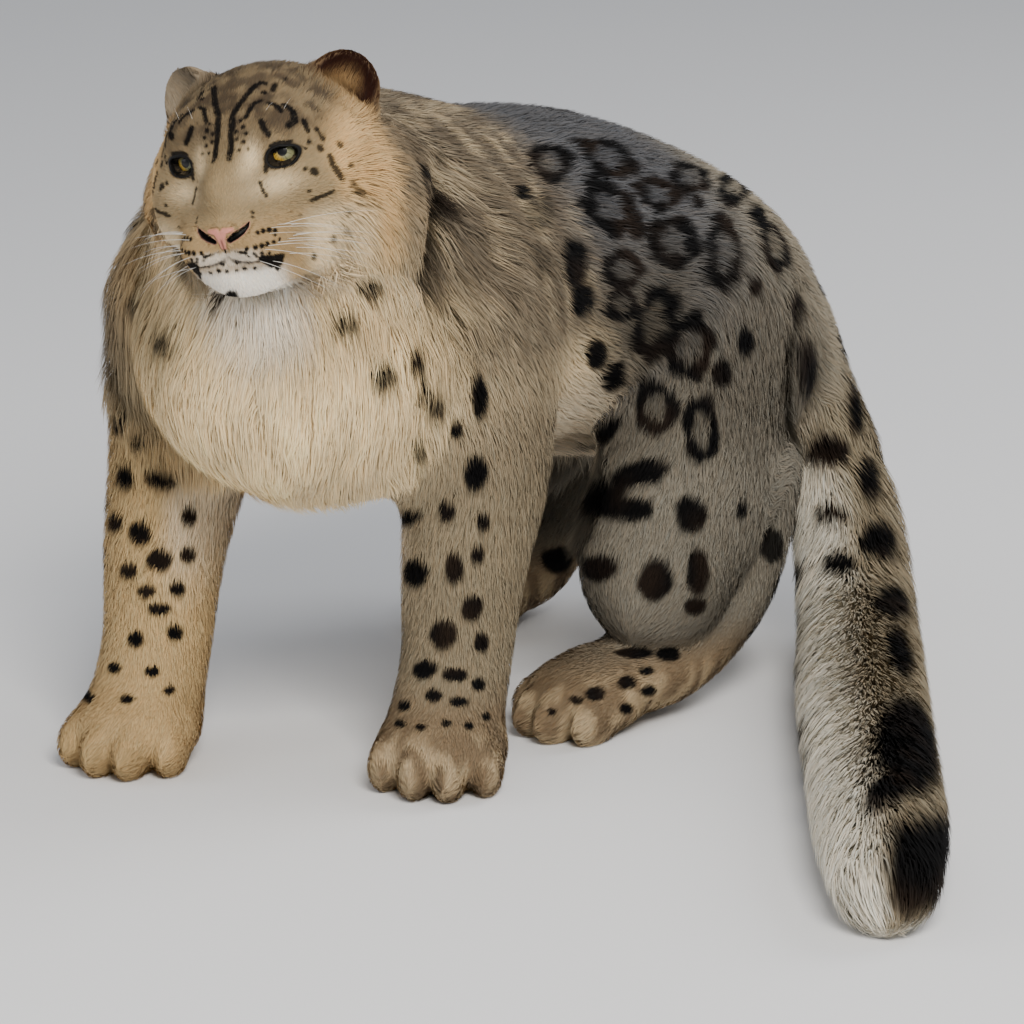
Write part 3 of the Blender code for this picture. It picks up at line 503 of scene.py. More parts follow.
class Coat:
    """The coat at each of some points: how deep the skin lies, and the fur's length and lie."""

    def __init__(self, points, parts=None):
        self.points = points
        self.parts = parts or part_distances(points)
        self.weights = dict(zip(PARTS, weights_of(self.parts)))
        self.local = in_head(points)
        self.ear = ramp(np.minimum(*[outer.distance(points) for outer, _ in EARS]), 0.006, 0.0)
        self.set_depth()

    def by_part(self, **values):
        total = 0
        for name, weight in self.weights.items():
            total = total + weight * values.get(name, values.get(name[:4]))
        return total

    def set_depth(self):
        height, back = self.points[:, 2], self.local[:, 1]
        face = ramp(back, -0.055, 0.035)
        leg = ramp(height, 0.06, 0.28)
        self.depth = self.by_part(
            trunk=0.009, head=0.0012 + 0.0065 * face, fore=0.0028 + 0.0052 * leg,
            hind=0.0028 + 0.0052 * leg, tail=0.010,
        )
        self.length = self.by_part(
            trunk=0.024, head=0.0044 + 0.014 * face, fore=0.009 + 0.011 * leg,
            hind=0.009 + 0.012 * leg, tail=0.030,
        )
        for forms, depth, length in LONG_ZONES.values():
            near = np.min([form.distance(self.points) for form in forms], axis=0)
            share = np.clip(1 - near / ZONE_FADE, 0, 1)
            self.depth = np.maximum(self.depth, depth * share)
            self.length = np.maximum(self.length, length * share)
        self.depth += (0.0010 - self.depth) * self.ear
        self.length += (0.012 - self.length) * self.ear

    def tail_lie(self):
        """Along the tail, and down its sides where it is level."""
        falls = ramp(-self.points[:, 2], -0.20, -0.10)[:, None]
        return unit(TAIL_FORM.way(self.points)[0] + falls * (0, 0, -1.0))

    def lie(self):
        """The way the fur lies, before it is laid along the surface."""
        points = self.points
        chest = ramp(-points[:, 1], 0.20, 0.30)[:, None]
        trunk = (1 - chest) * (0.0, 1.0, -0.50) + chest * (0.0, 0.30, -1.0)
        parting = ramp(-points[:, 1], 0.30, 0.38) * np.clip((points[:, 0] - 0.035) / 0.10, -1, 1)
        trunk = trunk - parting[:, None] * (0.55, 0, 0)
        away = unit(points - np.array(on_head(NOSE_AT)))
        low = ramp(-self.local[:, 2], -0.01, 0.05)[:, None]
        head = away + low * (0, 0, -0.75)
        ways = {"trunk": unit(trunk), "head": unit(head), "tail": self.tail_lie()}
        for name, forms in LEG_FORMS.items():
            limbs = [form for form, _ in forms if isinstance(form, Limb)]
            near = np.argmin([limb.distance(points) for limb in limbs], axis=0)
            along = np.choose(near[:, None], [limb.way(points)[0] for limb in limbs])
            heading = PAWS[name.replace("_", "paw_")][1]
            forward = np.array(turn("Z", heading) @ Vector((0, -1, -0.45)))
            paw = ramp(-points[:, 2], -0.075, -0.035)[:, None]
            ways[name] = unit(along * (1 - paw) + forward * paw)
        total = sum(self.weights[name][:, None] * ways[name] for name in PARTS)
        lean = np.zeros_like(points)
        for outer, _ in EARS:
            up = np.array(outer.turned @ (0, 0.1, 1.0))
            lean += ramp(outer.distance(points), 0.006, 0.0)[:, None] * up
        return unit(total * (1 - self.ear)[:, None] + lean)


# Fine forms of the head, in its own frame
MOUTH_DEPTH, MOUTH_WIDTH = 0.0042, 0.0017
PHILTRUM_DEPTH, PHILTRUM_WIDTH = 0.0022, 0.0013
SOCKET_DEPTH = 0.004
NOSE_SOCKET = 0.009
EYE_PLANE = 0.011


def axes_of(out):
    """Axes across, out and up, for a way out."""
    out = Vector(out)
    across = Vector((0, 0, 1)).cross(out).normalized() * -1
    up = out.cross(across).normalized() * -1
    return np.array(Matrix((across, out, up)).transposed())


def eye_axes(side):
    """The axes of an eye's lids. Across is towards the nose on the left eye."""
    return np.array(HEAD_TURN) @ axes_of((EYE_WAY.x * side, EYE_WAY.y, EYE_WAY.z))


def eye_middle(side):
    return np.array(on_head(mirrored(EYE_AT, side)))


def in_eye(points, side):
    """The points in an eye's own axes, with across towards the nose on either side."""
    return (points - eye_middle(side)) @ eye_axes(side) * (side, 1, 1)


def lid_outline():
    """The opening between the lids: its middle, and how far its edge is from that, by angle."""
    axes, ways = eye_axes(1), sight(LID_EDGE)
    gap = eye_middle(1) + axes[:, 1] * EYE_PLANE - np.array(VIEW_AT)
    far = (gap @ axes[:, 1]) / (ways @ axes[:, 1])
    places = in_eye(np.array(VIEW_AT) + ways * far[:, None], 1)[:, [0, 2]]
    middle = (places.min(axis=0) + places.max(axis=0)) / 2
    off = places - middle
    around = np.arctan2(off[:, 1], off[:, 0])
    order = np.argsort(around)
    return middle, around[order], np.hypot(*off.T)[order]


LID_MIDDLE, LID_AROUND, LID_REACH = lid_outline()


def lid_reach(around):
    """How far the lids' edge is from the opening's middle, smoothed a little."""
    near = [
        np.interp(around + turned, LID_AROUND, LID_REACH, period=2 * np.pi)
        for turned in (-0.24, -0.12, 0, 0.12, 0.24)
    ]
    return np.mean(near, axis=0)


def opening_size(eye):
    """Below 1 inside the opening between the lids, 1 on its edge, for points in the eye's axes."""
    off = eye[:, [0, 2]] - LID_MIDDLE
    return np.hypot(*off.T) / lid_reach(np.arctan2(off[:, 1], off[:, 0]))


def gaze(side):
    """The way from the middle of an eye to its pupil, which the photograph shows."""
    way = sight([IRIS_AT[side]])[0]
    to = eye_middle(side) - np.array(VIEW_AT)
    off = to - way * (to @ way)
    near = math.sqrt(max(EYE_RADIUS**2 - off @ off, 0))
    return (-off - way * near) / EYE_RADIUS


def line_distance(points, line, reach=None):
    """How far each point is from a chain of straight lines, less the chain's half width."""
    line = np.array(line, float)
    reach = np.zeros(len(line)) if reach is None else np.array(reach)
    best = np.full(len(points), 9.0)
    for a, b, one, two in zip(line, line[1:], reach, reach[1:]):
        step = b - a
        t = np.clip((points - a) @ step / max(step @ step, 1e-12), 0, 1)
        far = np.linalg.norm(points - a - t[:, None] * step, axis=1)
        best = np.minimum(best, far - one - (two - one) * t)
    return best


def both_sides(local):
    """Points of the head's frame, with those of the right side mirrored onto the left."""
    return np.column_stack([np.abs(local[:, 0]), local[:, 1:]])


def head_line(pixels):
    """A chain of the photograph's pixels as points on the left of the head, in the head's frame."""
    return both_sides(in_head(surface_at(pixels)))


def on_middle(line, *indices):
    """The line with some of its points moved to the middle of the face."""
    for index in indices:
        line[index, 0] = 0
    return line


MOUTH = on_middle(head_line(MOUTH_PIXELS), 0)
PHILTRUM = on_middle(head_line(PHILTRUM_PIXELS), 0, 1)
NOSE_LINE = on_middle(head_line(NOSE_PIXELS), 2, 3)
NOSTRIL_LINE = head_line(NOSTRIL_PIXELS)
FLAT = (1, 0.15, 1)


def nose_distances(both):
    """How far each point is outside the nose leather's pad, and outside its nostril."""
    flat = both * FLAT
    pad = line_distance(flat, NOSE_LINE * FLAT, np.array(NOSE_REACH) * FACE_PIXEL)
    hole = line_distance(flat, NOSTRIL_LINE * FLAT, np.array(NOSTRIL_REACH) * FACE_PIXEL)
    front = (both[:, 1] < -0.085) & (both[:, 0] < 0.03)
    return np.where(front, pad, FAR), np.where(front, hole, FAR)


def plain_skin(points):
    """How far each point lies outside the skin, before its features are cut."""
    coat = Coat(points)
    return outline_distance(points, coat.parts) + coat.depth


def skin_distance(points):
    """How far each point lies outside the skin."""
    coat = Coat(points)
    found = outline_distance(points, coat.parts) + coat.depth
    face = np.flatnonzero((coat.local[:, 1] < 0.0) & (coat.parts["head"] < 0.03))
    if not len(face):
        return found
    both, places = both_sides(coat.local[face]), points[face]
    cut = MOUTH_DEPTH * np.exp(-(line_distance(both, MOUTH) / MOUTH_WIDTH) ** 2)
    split = PHILTRUM_DEPTH * np.exp(-(line_distance(both, PHILTRUM) / PHILTRUM_WIDTH) ** 2)
    nose = NOSE_SOCKET * ramp(-np.min(nose_distances(both), axis=0), 0.0, 0.0015)
    found[face] += np.maximum(np.maximum(cut, split), nose)
    for side in (1, -1):
        eye = in_eye(places, side)
        inside = ramp(1.06 - opening_size(eye), 0.0, 0.20) * (eye[:, 1] > 0)
        behind = np.linalg.norm(eye, axis=1) - (EYE_RADIUS - SOCKET_DEPTH)
        found[face] = np.where(inside > 0, found[face] * (1 - inside) + behind * inside, found[face])
    return found


def new_object(name, mesh):
    made = bpy.data.objects.new(name, mesh)
    bpy.context.scene.collection.objects.link(made)
    return made


def mesh_of(draw):
    """A mesh drawn into by a function that takes a bmesh."""
    shape = bmesh.new()
    draw(shape)
    mesh = bpy.data.meshes.new("shape")
    shape.to_mesh(mesh)
    shape.free()
    return mesh


def apply_modifiers(obj):
    graph = bpy.context.evaluated_depsgraph_get()
    mesh = bpy.data.meshes.new_from_object(obj.evaluated_get(graph))
    obj.modifiers.clear()
    obj.data = mesh
    return obj


def ball_mesh(centre, size, segments=(24, 14)):
    ball = mesh_of(
        lambda one: bmesh.ops.create_uvsphere(one, u_segments=segments[0], v_segments=segments[1], radius=1)
    )
    place = Matrix.Translation(centre) @ Matrix(np.array(size).tolist()).to_4x4()
    ball.transform(place)
    if place.determinant() < 0:
        ball.flip_normals()
    return ball


def ear_shell(outer, cup):
    """An ear with its cup taken out."""
    shell = new_object("ear", ball_mesh(outer.centre, outer.turned * (outer.half - 0.0005)))
    hollow = new_object("cup", ball_mesh(cup.centre, cup.turned * (cup.half + 0.0005)))
    modifier = shell.modifiers.new("cup", "BOOLEAN")
    modifier.operation = "DIFFERENCE"
    modifier.solver = "MANIFOLD"
    modifier.object = hollow
    apply_modifiers(shell)
    bpy.data.objects.remove(hollow)
    mesh = shell.data
    bpy.data.objects.remove(shell)
    return mesh


def first_skin():
    """All the forms a little sunk, remeshed into one closed surface."""
    forms = [form for form, _ in TRUNK_FORMS + HEAD_PARTS] + [TAIL_FORM]
    for leg in LEG_FORMS.values():
        forms += [form for form, _ in leg]

    def draw(shape):
        for centre, size in [bead for form in forms for bead in form.beads(0.006)]:
            shape.from_mesh(ball_mesh(centre, size, (16, 10)))
        for outer, cup in EARS:
            shape.from_mesh(ear_shell(outer, cup))

    skin = new_object("skin", mesh_of(draw))
    remesh = skin.modifiers.new("skin", "REMESH")
    remesh.mode = "VOXEL"
    remesh.voxel_size = SKIN_STEP
    return apply_modifiers(skin)


def read(rows, name, columns, kind=np.float32):
    """A property of each row of a mesh, as an array."""
    found = np.empty(len(rows) * columns, kind)
    rows.foreach_get(name, found)
    return found.reshape(-1, columns)


def places_of(mesh):
    return read(mesh.vertices, "co", 3).astype(float)


def normals_of(mesh):
    return read(mesh.vertex_normals, "vector", 3).astype(float)


def set_places(mesh, places):
    mesh.vertices.foreach_set("co", places.astype(np.float32).ravel())
    mesh.update()


def edges_of(mesh):
    return read(mesh.edges, "vertices", 2, np.int32)


def triangles_of(mesh):
    mesh.calc_loop_triangles()
    return read(mesh.loop_triangles, "vertices", 3, np.int32)


def averaged(values, edges, count):
    """Each vertex's value, halfway to the mean of its neighbours'."""
    total = np.zeros((count, values.shape[1]))
    for one, two in ((0, 1), (1, 0)):
        for axis in range(values.shape[1]):
            total[:, axis] += np.bincount(edges[:, one], values[edges[:, two], axis], count)
    degree = np.bincount(edges.ravel(), minlength=count)[:, None]
    return (values + total / np.maximum(degree, 1)) / 2


def settle(mesh, rounds, relaxes, chosen=None, reach=0.010):
    """Relaxes the mesh and draws it onto the skin's own field."""
    edges = edges_of(mesh)
    places = places_of(mesh)
    chosen = np.arange(len(places)) if chosen is None else chosen
    for _ in range(rounds):
        for _ in range(relaxes):
            places[chosen] = averaged(places, edges, len(places))[chosen]
        set_places(mesh, places)
        normals = normals_of(mesh)
        off = np.clip(0.85 * skin_distance(places[chosen]), -reach, reach)
        places[chosen] -= normals[chosen] * off[:, None]
    set_places(mesh, places)


def subdivided(mesh, chooses):
    """Cuts each face that is chosen into four."""
    shape = bmesh.new()
    shape.from_mesh(mesh)
    centres = np.array([face.calc_center_median() for face in shape.faces])
    chosen = chooses(centres)
    edges = {edge for face, yes in zip(shape.faces, chosen) if yes for edge in face.edges}
    bmesh.ops.subdivide_edges(shape, edges=list(edges), cuts=1, use_grid_fill=True)
    bmesh.ops.triangulate(shape, faces=[face for face in shape.faces if len(face.verts) > 4])
    shape.to_mesh(mesh)
    shape.free()


def is_face(points):
    local = in_head(points)
    return (local[:, 1] < 0.015) & (np.abs(local[:, 0]) < 0.085) & (local[:, 2] > -0.10) & (
        local[:, 2] < 0.10)


def is_features(points):
    """Round the eyes, nose and mouth."""
    local = in_head(points)
    mouth = (local[:, 1] < -0.055) & (np.abs(local[:, 0]) < 0.050) & (local[:, 2] < -0.010) & (
        local[:, 2] > -0.085)
    eyes = [np.linalg.norm(points - np.array(on_head(mirrored(EYE_AT, side))), axis=1) < 0.026
            for side in (1, -1)]
    return (mouth | eyes[0] | eyes[1]) & (local[:, 1] < -0.03)


def sink_features(mesh):
    """Moves what lies between the lids and under the nose leather well behind them."""
    places = places_of(mesh)
    local = in_head(places)
    for side in (1, -1):
        eye = in_eye(places, side)
        chosen = (opening_size(eye) < 1.0) & (eye[:, 1] > 0) & (np.linalg.norm(eye, axis=1) < 0.025)
        middle = eye_middle(side)
        places[chosen] = middle + unit(places[chosen] - middle) * (EYE_RADIUS - SOCKET_DEPTH)
    nose = np.min(nose_distances(both_sides(local)), axis=0) < -0.0003
    places[nose] += np.array(HEAD_TURN)[:, 1] * NOSE_SOCKET
    set_places(mesh, places)


def make_skin():
    skin = first_skin()
    mesh = skin.data
    settle(mesh, 4, 2)
    subdivided(mesh, is_face)
    subdivided(mesh, is_features)
    places = places_of(mesh)
    fine = np.flatnonzero(is_face(places))
    settle(mesh, 4, 1, fine, 0.003)
    sink_features(mesh)
    mesh.shade_smooth()
    return skin


def outward(points):
    """The way out of the coat at each point."""
    step = 0.004
    ways = [outline_distance(points + d) - outline_distance(points - d) for d in np.eye(3) * step]
    return unit(np.array(ways).T)


# Markings seen in the photograph, by the area they are on: middle x and y, half width and height
# in its pixels, and the turn of the wider way in degrees
SIDE_RINGS = (
    (552, 160, 20, 18, 0), (610, 154, 28, 18, -20), (693, 174, 19, 15, -15), (737, 184, 15, 17, -40),
    (661, 192, 22, 16, -15), (677, 241, 24, 24, 0), (727, 249, 17, 37, 0), (612, 205, 27, 24, -30),
    (626, 269, 19, 18, 0), (625, 305, 16, 15, 0), (657, 322, 20, 36, -15), (692, 347, 23, 31, -10),
    (656, 405, 20, 25, 0), (704, 428, 17, 30, 0), (779, 243, 14, 26, 15),
)
SIDE_SPOTS = (
    (594, 178, 9, 8, 0), (578, 262, 13, 27, 0), (542, 262, 11, 23, 0), (542, 210, 13, 20, 0),
    (527, 190, 9, 8, 0), (640, 225, 10, 14, 0), (724, 373, 11, 14, 0), (748, 340, 9, 17, 0),
    (758, 285, 8, 11, 0), (804, 308, 11, 19, 0), (617, 379, 13, 18, -20), (599, 356, 11, 16, 0),
    (585, 300, 12, 18, 0), (700, 200, 8, 8, 0), (761, 212, 8, 14, 20), (812, 375, 10, 24, 0),
)
THIGH_SPOTS = (
    (601, 434, 19, 10, 40), (637, 473, 29, 14, 12), (631, 509, 22, 13, 8), (583, 497, 22, 13, 50),
    (693, 514, 17, 19, 0), (744, 511, 7, 9, 0), (593, 569, 19, 14, 0), (656, 582, 17, 23, -15),
    (700, 573, 12, 25, 0), (697, 608, 12, 10, 0), (560, 560, 16, 14, 0),
)
SHANK_SPOTS = (
    (633, 652, 20, 6, 0), (671, 655, 12, 7, 0), (628, 682, 10, 7, 0), (650, 692, 8, 6, 0),
    (647, 670, 8, 5, 0), (596, 693, 10, 7, 0), (628, 710, 7, 6, 0), (636, 752, 16, 9, 30),
)
FORELEG_SPOTS = (
    (477, 476, 12, 17, 0), (439, 409, 8, 11, 0), (457, 432, 7, 10, 0), (419, 453, 8, 10, 0),
    (445, 513, 9, 11, 0), (398, 522, 9, 7, 0), (485, 525, 7, 10, 0), (454, 570, 10, 17, 0),
    (410, 575, 13, 14, 0), (479, 555, 8, 11, 0), (473, 610, 11, 14, 0), (442, 636, 14, 15, 0),
    (482, 643, 8, 11, 0), (422, 670, 12, 10, 0), (455, 676, 13, 7, 0), (433, 696, 9, 6, 0),
    (460, 702, 11, 5, 0), (480, 685, 7, 7, 0), (402, 705, 7, 5, 0),
)
SHOULDER_SPOTS = (
    (379, 295, 12, 9, 0), (351, 329, 15, 9, 0), (421, 364, 9, 15, 0), (388, 380, 13, 12, 0),
    (482, 400, 8, 26, 0), (402, 520, 12, 8, 0), (428, 398, 8, 9, 0),
)
FAR_SIDE_SPOTS = (
    (203, 307, 6, 12, 0), (155, 344, 9, 13, 40), (124, 306, 8, 12, 0), (116, 426, 9, 11, 0),
    (138, 443, 9, 8, 0), (121, 479, 10, 13, 0), (162, 480, 17, 10, -10), (112, 524, 8, 10, 0),
    (138, 534, 12, 13, 0), (190, 518, 8, 10, 0), (159, 562, 13, 12, 0), (127, 572, 9, 9, 0),
    (190, 556, 8, 9, 0), (146, 592, 11, 8, 0), (160, 610, 12, 7, 0), (178, 590, 8, 8, 0),
    (230, 300, 8, 6, 0),
)
# Small flecks of the feet. Those of the right forefoot are guessed
FOOT_SPOTS = (
    (96, 636, 9, 8, 0), (134, 640, 8, 8, 0), (176, 634, 8, 8, 0), (112, 668, 8, 6, 0), (152, 672, 8, 6, 0),
    (84, 694, 7, 5, 0), (126, 698, 7, 5, 0), (170, 690, 6, 5, 0), (398, 722, 6, 4, 0), (420, 726, 6, 4, 0),
    (446, 722, 6, 4, 0), (470, 725, 5, 4, 0), (488, 716, 5, 4, 0), (575, 700, 7, 4, 0), (552, 712, 6, 4, 0),
)
TAIL_SPOTS = (
    (816, 374, 13, 31, 0), (859, 408, 8, 26, 0), (827, 450, 23, 19, 0), (872, 475, 13, 24, 0),
    (827, 511, 17, 9, 0), (883, 537, 20, 21, 0), (837, 559, 17, 11, 0), (897, 598, 21, 17, 0),
    (904, 646, 14, 24, 0), (918, 735, 38, 40, 0), (905, 775, 40, 14, 10),
    (950, 860, 38, 48, -20), (975, 925, 34, 34, -20),
)
FAINT = {(398, 522, 9, 7, 0), (542, 262, 11, 23, 0), (542, 210, 13, 20, 0)}


MARK_HEIGHT = 0.050
MARK_FADE = 0.018
UNSEEN_TRIES = 5200


class Marks:
    """Rings and spots, each on the plane that touches the coat at its middle."""

    def __init__(self):
        self.rows = []

    def add(self, middles, normals, ones, twos, reaches, rings, strength):
        for row in zip(middles, normals, ones, twos, reaches, rings, strength):
            self.rows.append((*row, len(self.rows)))

    def add_seen(self, given, ring):
        """Marks given by pixels of the photograph."""
        given_pixels = np.array([mark[:2] for mark in given], float)
        middles = surface_at(given_pixels)
        normals = outward(middles)
        scale = PIXEL * np.linalg.norm(middles - np.array(VIEW_AT), axis=1)
        ones, twos, reaches, strength = [], [], [], []
        for mark, normal, size in zip(given, normals, scale):
            angle = math.radians(mark[4])
            one = np.array(RIGHT) * math.cos(angle) + np.array(UP) * math.sin(angle)
            two = np.array(UP) * math.cos(angle) - np.array(RIGHT) * math.sin(angle)
            ones.append(one / (mark[2] * size))
            twos.append(two / (mark[3] * size))
            reaches.append(1.5 * max(mark[2:4]) * size / max(normal @ np.array(BACK), 0.4))
            strength.append(0.55 if mark in FAINT else 1.0)
        self.add(middles, normals, ones, twos, reaches, [ring] * len(given), strength)

    def clear_of(self, point, room):
        return all(np.linalg.norm(row[0] - point) > room + 0.6 * row[4] for row in self.rows)

    def at(self, points):
        """How dark each point is with marks, and how far inside a ring, both 0 to 1."""
        dark, inner = np.zeros(len(points)), np.zeros(len(points))
        wobble = 1 + 0.28 * (noise(points, 75, 3) - 0.5) + 0.16 * (noise(points, 190, 4) - 0.5)
        for middle, normal, one, two, reach, ring, strength, seed in self.rows:
            off = points - middle
            near = np.flatnonzero((np.abs(off) < reach).all(axis=1))
            off = off[near]
            height = off @ normal
            level = np.abs(height) < MARK_HEIGHT
            near, off = near[level], off[level]
            height = off @ normal
            fade = ramp(MARK_HEIGHT - np.abs(height), 0, MARK_FADE)
            off = off - height[:, None] * normal
            x, y = off @ one, off @ two
            far = np.hypot(x, y) * wobble[near]
            if ring:
                around = np.arctan2(y, x)
                wide = 0.34 + 0.10 * np.sin(around * (3 + seed % 3) + seed * 1.7)
                wide += 0.05 * np.sin(around * 7 + seed)
                found = 1 - ramp(np.abs(far - 0.84), wide * 0.60, wide * 1.20)
                inner[near] = np.maximum(inner[near], 1 - ramp(far, 0.6, 0.9))
            else:
                found = 1 - ramp(far, 0.80, 1.22)
            dark[near] = np.maximum(dark[near], found * strength * fade)
        return dark, inner


def seen_marks():
    marks = Marks()
    marks.add_seen(SIDE_RINGS, True)
    for given in (SIDE_SPOTS, THIGH_SPOTS, SHANK_SPOTS, FORELEG_SPOTS, SHOULDER_SPOTS, FAR_SIDE_SPOTS,
                  FOOT_SPOTS, TAIL_SPOTS):
        marks.add_seen(given, False)
    return marks


# Where the camera can't see: part of the body, room between marks, half length, half width, rings
UNSEEN = {
    "trunk": (0.034, 0.026, 0.021, True),
    "head": (0.011, 0.006, 0.004, False),
    "fore": (0.016, 0.012, 0.009, False),
    "hind": (0.020, 0.016, 0.012, False),
    "tail": (0.030, 0.028, 0.020, False),
}


def add_unseen_marks(marks, mesh, coat, normals, lie):
    """Scatters marks over what the photograph doesn't show."""
    draw = np.random.default_rng(5)
    tree = BVHTree.FromPolygons(
        [tuple(v) for v in coat.points], [tuple(face.vertices) for face in mesh.polygons]
    )
    towards = np.array(VIEW_AT)
    chosen = draw.choice(len(coat.points), UNSEEN_TRIES, replace=False)
    for i in chosen:
        point, normal = coat.points[i], normals[i]
        name = PARTS[int(np.argmax([coat.weights[part][i] for part in PARTS]))]
        room, long, wide, ring = UNSEEN[name[:4] if name[:4] in UNSEEN else name]
        if coat.ear[i] > 0 or (name == "head" and coat.local[i, 1] < 0.02) or is_pale(coat, i, normal):
            continue
        if normal @ unit((towards - point)[None])[0] > -0.02:
            if tree.ray_cast(Vector(point + normal * 0.02), Vector(towards - point))[0] is None:
                continue
        size = draw.uniform(0.8, 1.15)
        if not marks.clear_of(point, room * size):
            continue
        way = lie[i] - normal * (lie[i] @ normal)
        way /= np.linalg.norm(way)
        across = np.cross(normal, way)
        if name == "tail":
            way, across, long, wide = across, way, long * 1.15, wide * 0.9
        marks.add([point + normal * coat.depth[i]], [normal], [way / (long * size)],
                  [across / (wide * size)], [1.4 * long * size], [ring], [0.95])


def is_pale(coat, i, normal):
    """The belly, chest, throat, the underside of the tail and the soles, which have no marks."""
    name = PARTS[int(np.argmax([coat.weights[part][i] for part in PARTS]))]
    point = coat.points[i]
    if name == "trunk":
        return normal[2] < -0.25 or (normal[1] < -0.45 and point[2] < 0.50)
    if name == "tail":
        return normal[2] < -0.3
    return point[2] < 0.06 or normal[2] < -0.75


# Colours of the coat, as sRGB
BACK_GREY = (90, 90, 92)
FLANK = (86, 80, 70)
RUMP = (150, 140, 121)
CREAM = (232, 208, 166)
BELLY = (230, 212, 182)
CHEST = (252, 226, 176)
OCHRE = (226, 184, 126)
SHOULDER = (118, 106, 88)
LEG = (140, 127, 104)
HIND = (120, 115, 104)
FAR_LEG = (196, 166, 118)
PAW = (126, 108, 85)
TAIL_TOP = (136, 124, 102)
TAIL_UNDER = (222, 216, 200)
CROWN = (76, 65, 52)
FACE = (150, 130, 98)
MUZZLE = (170, 142, 102)
CHIN = (248, 240, 226)
# Painted shade inside the ear cups
EAR_CUP_SHADE = (44, 25, 18)
EAR_OUT = (112, 90, 66)
FAR_EAR = (158, 144, 122)
MARK = (12, 11, 12)
MARK_BROWN = (38, 30, 24)
CREAM_PIXEL = (548, 400)
CREAM_AT = np.array(surface_at([CREAM_PIXEL])[0])


def linear(colour):
    return (np.array(colour, float) / 255) ** 2.2


def mix(colours, colour, share):
    return colours + (linear(colour) - colours) * np.clip(share, 0, 1)[:, None]


def trunk_colours(points, normals):
    up, front, height = normals[:, 2], -normals[:, 1], points[:, 2]
    trunk = mix(np.tile(linear(FLANK), (len(points), 1)), BACK_GREY, ramp(up, -0.1, 0.75))
    trunk = mix(trunk, RUMP, ramp(points[:, 1], 0.06, 0.20) * 0.9)
    shoulder = ramp(-points[:, 1], 0.06, 0.16) * ramp(height, 0.22, 0.32)
    trunk = mix(trunk, SHOULDER, shoulder * 0.85)
    streaks = noise(points * (1, 1, 0.25), 60, 2) * 0.6 + noise(points * (1, 1, 0.3), 150, 9) * 0.4
    trunk = mix(trunk, CREAM, ramp(streaks, 0.50, 0.75) * shoulder * 0.40)
    trunk = mix(trunk, CROWN, ramp(1 - streaks, 0.48, 0.66) * shoulder * 0.45)
    behind = ramp(0.145 - np.linalg.norm((points - CREAM_AT) * (1, 1, 0.8), axis=1), 0.0, 0.07)
    trunk = mix(trunk, CREAM, behind * ramp(-height, -0.375, -0.325))
    trunk = mix(trunk, BELLY, ramp(-up, 0.15, 0.7))
    chest = ramp(-points[:, 1], 0.255, 0.335) * ramp(front, -0.05, 0.45) * ramp(-height, -0.52, -0.42)
    trunk = mix(trunk, CHEST, chest)
    # Painted shade on the far side of the neck: it is toned towards the face's grey-brown
    far_neck_shade = chest * ramp(-points[:, 0], -0.070, -0.020) * ramp(height, 0.33, 0.41)
    trunk = mix(trunk, FACE, far_neck_shade * 0.75)
    ochre = chest * ramp(noise(points, 9, 1), 0.35, 0.70) * ramp(height, 0.30, 0.40)
    trunk = mix(trunk, OCHRE, ochre * 0.50)
    return mix(trunk, FLANK, chest * ramp(streaks, 0.45, 0.85) * 0.25)


def head_colours(points, local):
    back, low, wide = local[:, 1], -local[:, 2], np.abs(local[:, 0])
    grizzle = noise(points, 130, 14)
    head = np.tile(linear(FACE), (len(points), 1))
    head = mix(head, CROWN, ramp(-low, 0.012, 0.050) * (0.45 + 0.55 * ramp(grizzle, 0.3, 0.7)))
    temple = ramp(wide, 0.040, 0.055) * ramp(back, -0.060, -0.045) * ramp(low, 0.0, 0.02)
    head = mix(head, CROWN, temple * 0.25)
    head = mix(head, OCHRE, ramp(wide, 0.060, 0.078) * ramp(back, -0.065, -0.040) * 0.95)
    cheek = ramp(wide, 0.042, 0.056) * ramp(low, 0.014, 0.034) * ramp(-wide, -0.092, -0.076)
    head = mix(head, CREAM, cheek * 0.9)
    head = mix(head, MUZZLE, ramp(-back, 0.064, 0.085) * ramp(low, 0.012, 0.028) * 0.9)
    # Painted shade along each side of the nose bridge
    bridge_side_shade = np.exp(-((wide - 0.024) / 0.008) ** 2) * ramp(-back, 0.050, 0.075) * ramp(-low, -0.020, 0.0)
    head = mix(head, CROWN, bridge_side_shade * 0.35)
    lips = ramp(low, 0.037, 0.042) * ramp(-low, -0.054, -0.049) * ramp(-back, 0.085, 0.100)
    head = mix(head, CHIN, lips * ramp(-wide, -0.034, -0.020) * 0.55)
    near_eye = ramp(-back, 0.03, 0.05)
    under_eye = np.exp(-((wide - 0.036) / 0.016) ** 2 - (low / 0.007) ** 2) * near_eye
    head = mix(head, CREAM, under_eye * 0.75)
    inner_eye = np.exp(-((wide - 0.020) / 0.006) ** 2 - ((low + 0.022) / 0.012) ** 2) * near_eye
    head = mix(head, CREAM, inner_eye * 0.8)
    head = mix(head, CHEST, ramp(low, 0.060, 0.085) * ramp(back, -0.07, -0.02) * 0.8)
    chin = ramp(low, 0.050, 0.060) * ramp(-back, 0.040, 0.070) * ramp(-wide, -0.042, -0.026)
    head = mix(head, CHIN, chin)
    ruff = ramp(wide + 0.5 * back, 0.086, 0.102)
    return mix(head, SHOULDER, ruff * (0.7 + 0.3 * grizzle))


